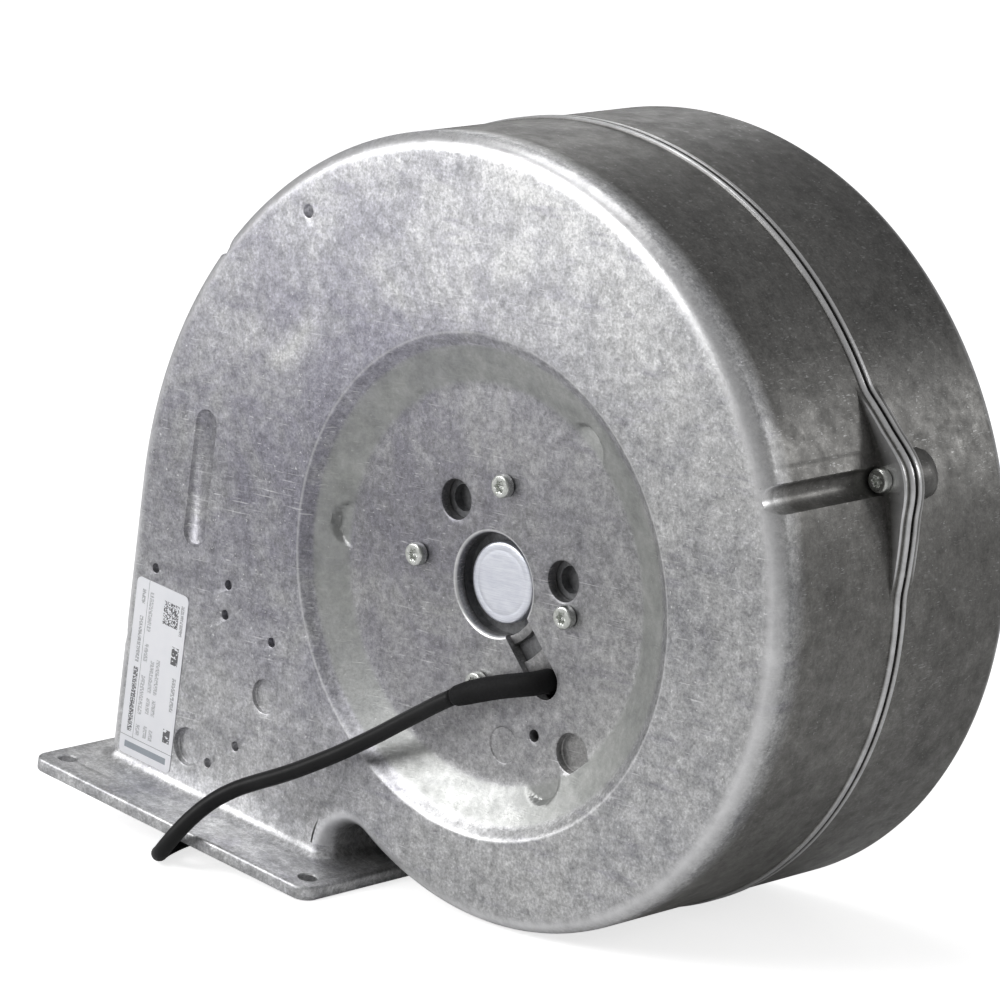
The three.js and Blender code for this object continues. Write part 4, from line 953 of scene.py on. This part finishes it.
cast_group, group_in, group_out = node_group(
    "cast skin",
    [("Place", "Vector", None), ("Edge", "Float", 0.0), ("Cone", "Float", 0.0)],
    [("Color", "Color"), ("Roughness", "Float"), ("Height", "Float")],
)
w = Wiring(cast_group)
place = group_in.outputs["Place"]
clouds = w.noise(place, 24, 5, 0.62, 0.5)
mottle = w.noise(place, 130, 6, 0.68, 0.2)
speckle = w.noise(place, 1100, 3, 0.75)
stain = w.noise(w.mapped(place, location=(3.1, 1.7, 0.4)), 38, 5, 0.62, 0.8)
base = w.blend(w.fit(clouds, 0.34, 0.68), (0.280, 0.282, 0.296, 1), (0.410, 0.410, 0.410, 1))
base = w.blend(w.fit(mottle, 0.38, 0.64, 0.08, 0.58), base, (0.580, 0.580, 0.582, 1))

# The tone is set by place: bluish round the middle and left of the face; painted light brightens
# its top and foot and the flange, and painted shade makes the walls dark and brownish.
parts = w.put("SeparateXYZ", {0: place})
stain_middle = tuple(stood(np.array([[-62.0, 0.0, 22.0]]))[0])
apart = w.put("VectorMath", {0: place, 1: stain_middle}, operation="DISTANCE").outputs["Value"]
stained = w.times(w.fit(apart, 0.125, 0.045), w.fit(stain, 0.30, 0.56))
base = w.blend(w.times(stained, 0.72), base, (0.232, 0.226, 0.276, 1))
streaks = w.noise(w.mapped(place, rotation=(0.0, 0.7, 0.0), scale=(45, 60, 260)), 1.0, 5, 0.7)
base = w.blend(w.fit(streaks, 0.54, 0.70, 0.0, 0.45), base, (0.225, 0.218, 0.262, 1))
x, y, z = parts.outputs
upright_x = w.plus(w.times(x, lean_cosine), w.times(z, -lean_sine))
upright_z = w.plus(w.times(x, lean_sine), w.times(z, lean_cosine))
FLANGE_FLOOR = hub_x * lean_sine + hub_z * lean_cosine - 0.0905
FLANGE_SIDE = hub_x * lean_cosine - hub_z * lean_sine - 0.020
low = w.fit(upright_z, FLANGE_FLOOR, FLANGE_FLOOR - 0.005)
beside_scroll = w.fit(upright_x, FLANGE_SIDE, FLANGE_SIDE - 0.012)
flange = w.times(low, beside_scroll)
not_flange = w.calc("SUBTRACT", 1.0, flange)
# Painted light: the face brightened towards its top and its foot and on the flange, as a factor on its
# colour.
painted_brightening = w.times(w.fit(z, 0.122, 0.208), w.fit(stain, 0.72, 0.40, 0.72, 0.98))
to_the_right = w.plus(x, w.times(z, -0.8))
painted_brightening = w.times(painted_brightening, w.fit(to_the_right, -0.09, 0.0, 1.0, 0.45))
painted_brightening = w.plus(painted_brightening, w.fit(z, 0.105, 0.045, 0.0, 0.34))
painted_brightening = w.fit(w.calc("MAXIMUM", painted_brightening, w.times(flange, 0.52)), 0.0, 1.0, 1.0, 1.85)
base = w.dimmed(base, painted_brightening)
# Painted shade: the walls, but not the flange, the cone or the back face, take a dark brownish tone.
walls = w.times(w.fit(y, -0.0468, -0.0405), not_flange)
walls = w.times(walls, w.calc("SUBTRACT", 1.0, group_in.outputs["Cone"]))
back_face = w.fit(y, 0.0470, 0.0515)
walls = w.times(walls, w.calc("SUBTRACT", 1.0, back_face))
wall_clouds = w.fit(w.plus(w.times(mottle, 0.6), w.times(clouds, 0.4)), 0.36, 0.64)
painted_wall_shade = w.blend(wall_clouds, (0.124, 0.121, 0.114, 1), (0.222, 0.218, 0.207, 1))
# The painted wall shade is lighter low down and darker towards the back.
wall_light = w.times(w.fit(z, 0.16, 0.05, 0.84, 1.42), w.fit(y, -0.01, 0.03, 1.0, 0.80))
painted_wall_shade = w.dimmed(painted_wall_shade, wall_light)
base = w.blend(w.times(walls, 0.92), base, painted_wall_shade)
grains = w.fit(w.noise(place, 330, 4, 0.7), 0.32, 0.68, 0.76, 1.24)
grit = w.times(w.fit(speckle, 0.30, 0.70, 0.68, 1.32), grains)
base = w.dimmed(base, grit, w.fit(walls, 0.0, 1.0, 1.0, 0.7))

# Short hairline scratches lie every way in loose patches, with scattered bright specks.
scratches = None
for turn, stretch, seed in (
    (0.5, 60, 0.0), (-0.85, 190, 4.0), (1.35, 45, 9.0), (2.3, 260, 14.0), (0.05, 120, 21.0),
):
    laid = w.mapped(
        place, rotation=(0.0, turn, 0.0), location=(seed, seed, 0.0), scale=(stretch, 420, 1900),
    )
    patch = w.fit(w.noise(w.mapped(place, location=(seed, 0.0, seed)), 30, 2, 0.5), 0.46, 0.58)
    line = w.times(w.fit(w.noise(laid, 1.0, 1, 0.4), 0.685, 0.74), patch)
    scratches = line if scratches is None else w.calc("MAXIMUM", scratches, line)
specks = w.fit(w.noise(place, 1000, 1, 0.4), 0.735, 0.79)
broken = w.fit(w.noise(place, 210, 2, 0.5), 0.35, 0.65, 0.15, 0.75)
scratches = w.calc("MAXIMUM", w.times(scratches, broken), w.times(specks, 0.8))
scratches = w.times(scratches, w.fit(walls, 0.0, 1.0, 1.0, 0.40))
base = w.blend(w.times(scratches, 0.78), base, (0.90, 0.90, 0.91, 1))
# Edges are brightened for wear and as a painted highlight along fillets, lugs and seams; the same mask lowers
# roughness a little.
rubbed_and_highlit = w.times(w.fit(group_in.outputs["Edge"], 0.25, 0.95), w.fit(mottle, 0.25, 0.62, 0.62, 1.0))
base = w.blend(w.times(rubbed_and_highlit, 0.92), base, (0.95, 0.95, 0.96, 1))
cone = w.blend(w.fit(mottle, 0.3, 0.7), (0.30, 0.312, 0.292, 1), (0.46, 0.470, 0.448, 1))
# Painted highlight near the cone's lowest part, where it faces up to the light.
cone_foot = tuple(stood(np.array([[4.0, 6.0, -66.0]]))[0])
apart = w.put("VectorMath", {0: place, 1: cone_foot}, operation="DISTANCE").outputs["Value"]
painted_cone_highlight = w.fit(apart, 0.050, 0.018)
cone = w.blend(w.times(painted_cone_highlight, 0.10), cone, (0.86, 0.85, 0.86, 1))
base = w.blend(w.times(group_in.outputs["Cone"], 0.7), base, cone)
w.links.new(base, group_out.inputs["Color"])
rough = w.fit(mottle, 0.3, 0.7, 0.50, 0.36)
rough = w.plus(rough, w.fit(speckle, 0.3, 0.7, -0.05, 0.08))
rough = w.calc("SUBTRACT", rough, w.times(rubbed_and_highlit, 0.08))
w.links.new(rough, group_out.inputs["Roughness"])
height = w.plus(w.times(mottle, 0.5), w.times(speckle, 0.35))
height = w.calc("SUBTRACT", height, w.times(scratches, 0.25))
w.links.new(height, group_out.inputs["Height"])

cast_aluminium, w, shader, place = new_material("cast aluminium", 0.92)
skin = w.put("Group", {
    "Place": place, "Edge": w.put("Attribute", attribute_name="edge").outputs["Fac"],
    "Cone": w.put("Attribute", attribute_name="grain").outputs["Fac"],
}, node_tree=cast_group)
w.finish(shader, skin.outputs["Color"], skin.outputs["Roughness"], 0.35, 0.00035, skin.outputs["Height"])
for piece in castings:
    piece.data.materials.clear()
    piece.data.materials.append(cast_aluminium)
    piece.data.polygons.foreach_set("material_index", np.zeros(len(piece.data.polygons), dtype=np.int32))
    piece.data.set_sharp_from_angle(angle=math.radians(38))
for piece, node in ((motor_casting, "motor_side_housing"), (inlet_casting, "inlet_side_housing")):
    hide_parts(node)
    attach(piece, "housing")

# ---------------------------------------------------------------- screws
# Zinc-plated M4 screws with cylinder heads and a six-lobe drive: four hold the motor, four close
# the housing at its lugs, four hold the inlet nozzle.
HEAD = 0.0035
HEAD_HEIGHT = 0.0029
SHANK = 0.0020
LOBE, LOBE_SWING = 0.00155, 0.00030
SCREW_SIDES = 60


def screw(name, x, z, front, tip):
    """Screw along the fan axis. Rows go from the middle of the drive out over the head and down the
    shank; inside the drive the radius swings with six times the angle."""
    into = 1.0 if tip > front else -1.0
    turn = np.arange(SCREW_SIDES) * 2 * np.pi / SCREW_SIDES
    lobed = LOBE + LOBE_SWING * np.cos(6 * turn)
    base = front + into * HEAD_HEIGHT
    rows = [
        (lobed * 0.05, front + into * 0.0017), (lobed * 0.55, front + into * 0.0016),
        (lobed * 0.92, front + into * 0.0014), (lobed, front + into * 0.00022),
        (lobed + 0.00016, front + into * 0.00004), (0.0024 + 0 * turn, front),
        (0.0029 + 0 * turn, front + into * 0.00002), (HEAD - 0.0003 + 0 * turn, front + into * 0.00012),
        (HEAD - 0.00008 + 0 * turn, front + into * 0.00038), (HEAD + 0 * turn, front + into * 0.0008),
        (HEAD + 0 * turn, base - into * 0.0003), (HEAD - 0.0002 + 0 * turn, base),
        (SHANK + 0.0003 + 0 * turn, base), (SHANK + 0 * turn, base + into * 0.0004),
        (SHANK + 0 * turn, tip - into * 0.0004), (SHANK - 0.0004 + 0 * turn, tip),
    ]
    rings = np.stack([
        np.stack([x + radius * np.cos(turn), np.full(SCREW_SIDES, depth), z + radius * np.sin(turn)], axis=-1)
        for radius, depth in rows
    ])
    piece = mesh_object(name, rings.reshape(-1, 3), capped_faces(len(rows), SCREW_SIDES))
    piece.data.set_sharp_from_angle(angle=math.radians(50))
    return piece


zinc, w, shader, place = new_material("zinc plating", 1.0)
zinc_clouds = w.noise(place, 700, 3, 0.6)
w.finish(
    shader, w.blend(w.fit(zinc_clouds, 0.3, 0.7), (0.52, 0.54, 0.50, 1), (0.80, 0.81, 0.79, 1)),
    w.fit(zinc_clouds, 0.3, 0.7, 0.36, 0.24), 0.25, 0.0001, zinc_clouds,
)
for group, facing_motor in (("motor_screw", True), ("housing_screw", True), ("nozzle_screw", False)):
    for number in range(1, 5):
        node = f"{group}_{number}"
        low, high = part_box(node)
        front, tip = (low[1], high[1]) if facing_motor else (high[1], low[1])
        x, z = (low[0] + high[0]) / 2, (low[2] + high[2]) / 2
        piece = screw(f"{node}_detailed", x, z, front, tip)
        piece.data.materials.append(zinc)
        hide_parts(node)
        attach(piece, "housing")

# ---------------------------------------------------------------- motor end cap
# A pressed steel cap closes the front bearing's seat. Its flat is brushed straight across and a
# faint step runs round it just inside the rounded rim.
CAP = 12.3
CAP_FRONT, CAP_BACK = 10.9, 13.9


def turned_piece(name, profile, sides=96):
    """Closed solid of revolution about the fan axis from a closed outline of radius and depth."""
    turn = np.arange(sides) * 2 * np.pi / sides
    profile = np.array(profile, dtype=float)
    rings = np.stack([
        profile[:, :1] * np.cos(turn), np.repeat(profile[:, 1:], sides, axis=1),
        profile[:, :1] * np.sin(turn),
    ], axis=-1)
    on_axis = profile[0, 0] < 0.2 and profile[-1, 0] < 0.2
    if on_axis:
        faces = capped_faces(len(profile), sides)
    else:
        faces = grid_faces(len(profile), sides, close_rows=True)
    piece = mesh_object(name, stood(rings).reshape(-1, 3), faces)
    piece.data.set_sharp_from_angle(angle=math.radians(40))
    return piece


end_cap = turned_piece("end_cap", [
    (0.1, CAP_FRONT), (4, CAP_FRONT), (8, CAP_FRONT), (9.3, CAP_FRONT), (9.5, CAP_FRONT + 0.05),
    (9.9, CAP_FRONT + 0.05), (10.1, CAP_FRONT), (11.3, CAP_FRONT), (11.8, CAP_FRONT + 0.12),
    (12.15, CAP_FRONT + 0.4), (CAP, CAP_FRONT + 0.9), (CAP, CAP_BACK - 0.1), (CAP - 0.6, CAP_BACK - 0.1),
    (CAP - 0.7, CAP_FRONT + 1.5), (0.1, CAP_FRONT + 1.2),
])
brushed, w, shader, place = new_material("brushed steel", 0.85)
brush_lines = w.noise(
    w.mapped(place, rotation=(0.0, -0.1383, 0.0), scale=(180, 900, 5200)), 1.0, 3, 0.6,
)
brushing = w.plus(w.times(brush_lines, 0.7), w.times(w.noise(place, 260, 3, 0.5), 0.3))
w.finish(
    shader, w.blend(w.fit(brushing, 0.35, 0.65), (0.72, 0.74, 0.83, 1), (0.92, 0.94, 1.0, 1)),
    w.fit(brush_lines, 0.3, 0.7, 0.30, 0.42), 0.5, 0.00005, brush_lines,
)
end_cap.data.materials.append(brushed)
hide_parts("motor_end_cap")
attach(end_cap, "housing")

# ---------------------------------------------------------------- cable sleeve and sheath
# A matt black shrink sleeve comes up out of the channel beside the hub, turns along the plateau
# and is shrunk down over the satin sheath of the cable.
SLEEVE = 0.0036
sleeve_path = through(stood([
    [24.52, 10.9, -22.08], [24.52, 7.6, -22.08], [23.5, 4.4, -22.6], [20.1, 2.2, -23.8],
    [13.6, 0.9, -26.4], [6, 0, -30], [-2.1, -0.7, -34.4],
]), 8)
share = np.linspace(0, 1, len(sleeve_path))
sleeve_radius = SLEEVE * np.interp(
    share, [0, 0.80, 0.90, 0.955, 0.985, 1.0], [1, 1.0, 0.97, 0.90, 0.86, 0.74],
)
sleeve = tube("sleeve", sleeve_path, sleeve_radius, 28)


def black_skin(name, tone, rough_low, rough_high, scale, depth):
    """Black rubber or plastic: a dusty tone in clouds, with a fine uneven skin."""
    material, w, shader, place = new_material(name)
    fine = w.noise(place, scale, 4, 0.6)
    broad = w.noise(place, 90, 3, 0.5)
    lighter = tuple(value * 1.6 for value in tone)
    shader.inputs["Specular IOR Level"].default_value = 0.22
    w.finish(
        shader, w.blend(w.fit(broad, 0.35, 0.7), (*tone, 1), (*lighter, 1)),
        w.fit(fine, 0.3, 0.7, rough_low, rough_high), 0.5, depth, fine,
    )
    return material


sleeve.data.materials.append(black_skin("shrink sleeve", (0.007, 0.007, 0.0075), 0.62, 0.80, 1400, 0.00015))
cable.data.materials.append(black_skin("cable sheath", (0.009, 0.009, 0.0095), 0.38, 0.52, 1800, 0.00008))
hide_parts("cable_sleeve")
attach(sleeve, "housing")

# ---------------------------------------------------------------- tie of the coil
# A narrow black strap goes once round the coiled turns.
tie_turn = np.linspace(0, 2 * math.pi, 48, endpoint=False)
tie_middle = np.array([COIL_CENTRE[0] + 0.0270, COIL_CENTRE[1], 0.0049])
tie_reach = (0.0053, 0.0047)
tie_rings = []
for inset, along in ((0.0, -0.0016), (0.0, 0.0016), (0.0005, 0.0016), (0.0005, -0.0016)):
    out = np.sign(np.cos(tie_turn)) * np.abs(np.cos(tie_turn)) ** 0.55 * (tie_reach[0] - inset)
    up = np.sign(np.sin(tie_turn)) * np.abs(np.sin(tie_turn)) ** 0.55 * (tie_reach[1] - inset)
    tie_rings.append(np.stack([
        tie_middle[0] + out, np.full(48, tie_middle[1] + along), tie_middle[2] + up,
    ], axis=-1))
tie = mesh_object("coil_tie", np.stack(tie_rings).reshape(-1, 3), grid_faces(4, 48, close_rows=True))
tie.data.materials.append(black_skin("tie strap", (0.02, 0.02, 0.021), 0.5, 0.65, 1200, 0.0001))
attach(tie, "housing")

# ---------------------------------------------------------------- rating label
# A white printed film with round corners: thin rules, grey lines in place of text, a small field
# of squares and a plain bar at its foot.
LABEL_WIDE, LABEL_TALL, LABEL_ROUND = 23.7, 58.5, 2.0
LABEL_LEFT = DUCT_LEFT + 6.1
LABEL_FOOT = FLANGE_TOP + 3.5
label_rows = []
for inset, depth in ((0.06, -0.04), (0.0, -0.05), (0.0, -0.16), (0.05, -0.2)):
    around = rounded_box(
        LABEL_LEFT + inset, LABEL_FOOT + inset, LABEL_LEFT + LABEL_WIDE - inset,
        LABEL_FOOT + LABEL_TALL - inset, LABEL_ROUND, 10,
    )
    label_rows.append(np.stack([around[:, 0], np.full(len(around), depth), around[:, 1]], axis=-1))
label_rows = np.stack(label_rows)
around_count = label_rows.shape[1]
label = mesh_object(
    "printed_label", stood(label_rows).reshape(-1, 3), capped_faces(4, around_count), smooth=False,
)
flat = label_rows.reshape(-1, 3)
print_place = label.data.attributes.new("print", "FLOAT_VECTOR", "POINT")
print_place.data.foreach_set("vector", np.stack([
    (flat[:, 0] - LABEL_LEFT) / LABEL_WIDE, (flat[:, 2] - LABEL_FOOT) / LABEL_TALL, 0 * flat[:, 0],
], axis=1).astype(np.float32).ravel())

film, w, shader, place = new_material("label film")
print_at = w.put("Attribute", attribute_name="print").outputs["Vector"]
across, up, _ = w.put("SeparateXYZ", {0: print_at}).outputs


def inside(value, low, high):
    """One between two bounds, zero outside."""
    above = w.calc("GREATER_THAN", value, low)
    return w.times(above, w.calc("LESS_THAN", value, high))


def bar_of(left, right, low, high):
    """One inside a rectangle of the print, zero outside."""
    return w.times(inside(across, left, right), inside(up, low, high))


# Lines of print run up the label; each is broken into strokes by a noise that changes along it.
strokes = w.noise(w.mapped(print_at, scale=(30, 115, 1)), 1.0, 2, 0.7)
stroke_mask = w.fit(strokes, 0.44, 0.50)
printed = None
for left, right, low, high, dark in (
    (0.115, 0.20, 0.135, 0.50, 1.0), (0.125, 0.19, 0.53, 0.79, 0.62), (0.125, 0.19, 0.86, 0.94, 0.62),
    (0.275, 0.35, 0.13, 0.19, 0.50), (0.275, 0.35, 0.25, 0.47, 0.50), (0.275, 0.35, 0.55, 0.65, 0.50),
    (0.275, 0.35, 0.72, 0.94, 0.50), (0.42, 0.49, 0.13, 0.20, 0.50), (0.42, 0.49, 0.27, 0.36, 0.50),
    (0.42, 0.49, 0.39, 0.57, 0.50), (0.53, 0.60, 0.13, 0.19, 0.50), (0.53, 0.60, 0.27, 0.36, 0.50),
    (0.53, 0.60, 0.39, 0.59, 0.50), (0.86, 0.93, 0.34, 0.53, 0.60), (0.88, 0.94, 0.77, 0.94, 0.60),
):
    line = w.times(w.times(bar_of(left, right, low, high), stroke_mask), dark)
    printed = line if printed is None else w.calc("MAXIMUM", printed, line)
blotches = w.fit(w.noise(w.mapped(print_at, scale=(16, 60, 1)), 1.0, 1, 0.5), 0.40, 0.43)
for left, right, low, high in ((0.80, 0.93, 0.16, 0.235), (0.79, 0.92, 0.60, 0.70)):
    printed = w.calc("MAXIMUM", printed, w.times(bar_of(left, right, low, high), blotches))
cells = w.put("VectorMath", {0: w.mapped(print_at, scale=(72, 178, 1))}, operation="FLOOR").outputs[0]
squares = w.calc("GREATER_THAN", w.put("TexWhiteNoise", {"Vector": cells}).outputs["Value"], 0.48)
printed = w.calc("MAXIMUM", printed, w.times(bar_of(0.555, 0.845, 0.80, 0.93), squares))
for left, right, low, high in ((0.235, 0.243, 0.105, 1.0), (0.0, 1.0, 0.103, 0.1065)):
    printed = w.calc("MAXIMUM", printed, w.times(bar_of(left, right, low, high), 0.75))
paper = w.blend(
    w.fit(w.noise(place, 120, 3, 0.5), 0.3, 0.7), (0.86, 0.87, 0.91, 1), (0.91, 0.915, 0.95, 1),
)
strip = w.times(bar_of(0.10, 0.90, 0.040, 0.076), 0.8)
paper = w.blend(strip, paper, (0.20, 0.24, 0.28, 1))
paper = w.blend(w.times(printed, 0.9), paper, (0.055, 0.055, 0.06, 1))
w.finish(
    shader, paper, w.fit(strokes, 0.3, 0.7, 0.34, 0.42), 0.2, 0.0001, w.noise(place, 500, 2, 0.5),
)
label.data.materials.append(film)
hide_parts("rating_label")
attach(label, "housing")

# ---------------------------------------------------------------- gasket and motor plate
# A matt grey gasket shows as a thin line between the halves. The motor plate is a casting
# screwed behind the plateau; it is seen through the round holes and the cable channel, and its
# dark colour is painted shade, since it lies deep in there.
def clouded(name, dark, light, rough_low, rough_high, metallic, scale, depth):
    """Two tones in fine clouds, with the same clouds in roughness and height."""
    material, w, shader, place = new_material(name, metallic)
    clouds = w.noise(place, scale, 4, 0.6)
    fine = w.noise(place, scale * 6, 2, 0.6)
    mixed = w.plus(w.times(clouds, 0.6), w.times(fine, 0.4))
    w.finish(
        shader, w.blend(w.fit(mixed, 0.36, 0.64), (*dark, 1), (*light, 1)),
        w.fit(mixed, 0.3, 0.7, rough_high, rough_low), 0.4, depth, mixed,
    )
    return material


def refinish(material, *names):
    """Gives nodes of the frame a finished material in place of their plain one."""
    for name in names:
        node = frame["nodes"][name]
        node.data.materials.clear()
        node.data.materials.append(material)


refinish(clouded("gasket fibre", (0.16, 0.165, 0.17), (0.24, 0.245, 0.25), 0.7, 0.9, 0.0, 500, 0.0002),
         "housing_gasket")
# Painted shade: the motor plate is coloured dark, as it lies deep behind the holes.
refinish(clouded("plate casting in painted shade", (0.14, 0.142, 0.148), (0.26, 0.262, 0.268), 0.40, 0.58, 0.9, 160, 0.0003),
         "motor_plate")

# ---------------------------------------------------------------- channel floor
# Two raised steps cast in the cable channel beside the hub hole, with rounded front edges.
def ring_step(inner, outer, top, floor, half_width):
    """Part of a ring across the channel between two radii: an outline of two arcs, with its upper
    edge drawn in twice for a soft corner."""
    steps = 14
    rings = []
    for inset, depth in ((0.55, top), (0.18, top + 0.16), (0.0, top + 0.55), (0.0, floor)):
        near, far = inner + inset, outer - inset
        start = math.radians(-42)
        near_arc = np.linspace(-1, 1, steps) * math.asin(half_width / near)
        far_arc = np.linspace(1, -1, steps) * math.asin(half_width / far)
        radius = np.concatenate([np.full(steps, near), np.full(steps, far)])
        turn = start + np.concatenate([near_arc, far_arc])
        rings.append(np.stack([
            radius * np.cos(turn), np.full(2 * steps, depth), radius * np.sin(turn),
        ], axis=-1))
    return stood(np.stack(rings)).reshape(-1, 3), capped_faces(4, 2 * steps)


channel_steps = joined_object("channel_steps", [
    ring_step(15.6, 18.6, 9.3, 11.15, 5.4), ring_step(24.3, 31.5, 9.5, 11.15, 5.4),
])
channel_steps.data.set_sharp_from_angle(angle=math.radians(40))
channel_steps.data.materials.append(cast_aluminium)
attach(channel_steps, "housing")

# ---------------------------------------------------------------- inlet nozzle
# A spun steel ring screwed to the inlet side: a flat flange whose bore turns in as a bell and
# reaches a little way into the impeller.
NOZZLE_THROAT, NOZZLE_FLANGE, NOZZLE_SHEET, NOZZLE_REACH = 54.0, 74.0, 1.5, 14.0
nozzle_front = DEPTH + 0.3 + NOZZLE_SHEET
nozzle_back = DEPTH + 0.3
bell = np.linspace(0, math.pi / 2, 14)
bell_radius = NOZZLE_THROAT + 6 * (1 - np.cos(bell))
bell_depth = nozzle_front - NOZZLE_REACH * (1 - np.sin(bell))
bell_front = list(zip(bell_radius, bell_depth))
bell_back = [
    (radius + NOZZLE_SHEET * min(1.0, (nozzle_front - depth) / 4), depth)
    for radius, depth in reversed(bell_front) if depth < nozzle_back - 0.2
]
nozzle = turned_piece("nozzle_ring", bell_front + [
    (66, nozzle_front), (NOZZLE_FLANGE - 0.5, nozzle_front), (NOZZLE_FLANGE, nozzle_front - 0.4),
    (NOZZLE_FLANGE, nozzle_back), (NOZZLE_THROAT + 7, nozzle_back),
] + bell_back, 120)
spun, w, shader, place = new_material("spun steel", 1.0)
spun_place = w.mapped(place, location=(-hub_x, 0.0, -hub_z))
x, y, z = w.put("SeparateXYZ", {0: spun_place}).outputs
from_axis = w.calc("SQRT", w.plus(w.times(x, x), w.times(z, z)))
turning = w.noise(
    w.put("CombineXYZ", {0: w.times(from_axis, 2600.0), 1: w.times(y, 2600.0)}).outputs[0], 1.0, 3, 0.6,
)
spun_clouds = w.noise(spun_place, 45, 4, 0.6)
spinning = w.plus(w.times(turning, 0.45), w.times(spun_clouds, 0.55))
w.finish(
    shader, w.blend(spinning, (0.44, 0.45, 0.46, 1), (0.78, 0.79, 0.80, 1)),
    w.fit(spun_clouds, 0.3, 0.7, 0.28, 0.42), 0.3, 0.00006, turning,
)
nozzle.data.materials.append(spun)
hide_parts("inlet_nozzle")
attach(nozzle, "housing")

# ---------------------------------------------------------------- rotor and impeller
# The drum wheel turns with the motor's deep-drawn cup: a dished hub disc is riveted to the cup's
# flange and carries forty rolled blades between two rings.
cup_outer = 24.2 + 0.4 + 2.4 + 0.05 + 1.5
cup = turned_piece("rotor_cup_shell", [
    (38, 26), (38, 27.5), (cup_outer + 0.8, 27.5), (cup_outer, 28.3), (cup_outer, 55.4),
    (cup_outer - 0.6, 57.1), (cup_outer - 2.2, 58), (22, 58), (21.2, 57.4), (12, 57.4), (11.2, 58), (6.3, 58),
    (6, 58.4), (6, 60), (2.6, 60), (2.6, 51.5), (6, 51.5), (6, 56.4), (cup_outer - 2.9, 56.4),
    (cup_outer - 1.5, 55), (cup_outer - 1.5, 26),
], 96)
cup.data.materials.append(spun)
disc = turned_piece("hub_disc", [
    (cup_outer + 0.1, 27.8), (39.5, 27.8), (41, 27.1), (51, 15.2), (52.6, 14.5), (79, 14.5), (79, 15.5),
    (53.0, 15.5), (51.9, 16.0), (42.0, 27.9), (40, 28.8), (cup_outer + 0.1, 28.8),
], 120)
galvanised = clouded("galvanised sheet", (0.40, 0.41, 0.42), (0.66, 0.67, 0.68), 0.30, 0.46, 1.0, 70, 0.0002)
disc.data.materials.append(galvanised)
for piece, node, finish in ((cup, "rotor_cup", "bright_steel"), (disc, "impeller_hub_disc", "zinc_steel")):
    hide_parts(node)
    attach(piece, "rotor")
refinish(galvanised, "impeller_blade_drum")
refinish(spun, "motor_shaft", "shaft_clip", "front_bearing", "rear_bearing", "preload_washer",
         *[f"impeller_rivet_{number}" for number in range(1, 5)])

# ---------------------------------------------------------------- stator and control board
# Inside the cup: stacked sheets with nine copper windings, and a round board with its parts.
refinish(clouded("stator sheets", (0.10, 0.105, 0.11), (0.20, 0.205, 0.21), 0.35, 0.5, 0.9, 300, 0.0002),
         "stator_core")
refinish(clouded("copper wire", (0.42, 0.16, 0.07), (0.68, 0.30, 0.14), 0.28, 0.42, 1.0, 900, 0.0002),
         *[f"stator_winding_{number}" for number in range(1, 10)])
refinish(clouded("ferrite", (0.03, 0.03, 0.032), (0.07, 0.07, 0.074), 0.5, 0.7, 0.2, 400, 0.0001),
         "magnet_ring")
refinish(clouded("solder mask", (0.01, 0.07, 0.035), (0.02, 0.12, 0.06), 0.30, 0.42, 0.0, 250, 0.0001),
         "control_board")
refinish(clouded("chip moulding", (0.012, 0.012, 0.013), (0.03, 0.03, 0.032), 0.5, 0.7, 0.0, 800, 0.0001),
         "driver_chip", *[f"power_switch_{number}" for number in range(1, 4)],
         *[f"hall_sensor_{number}" for number in range(1, 4)])

# ---------------------------------------------------------------- plug
# White moulded four-way plug on the cable's end, with a matt, slightly clouded skin.
refinish(clouded("plug moulding", (0.58, 0.58, 0.53), (0.70, 0.70, 0.65), 0.42, 0.58, 0.0, 220, 0.0001),
         "cable_plug")
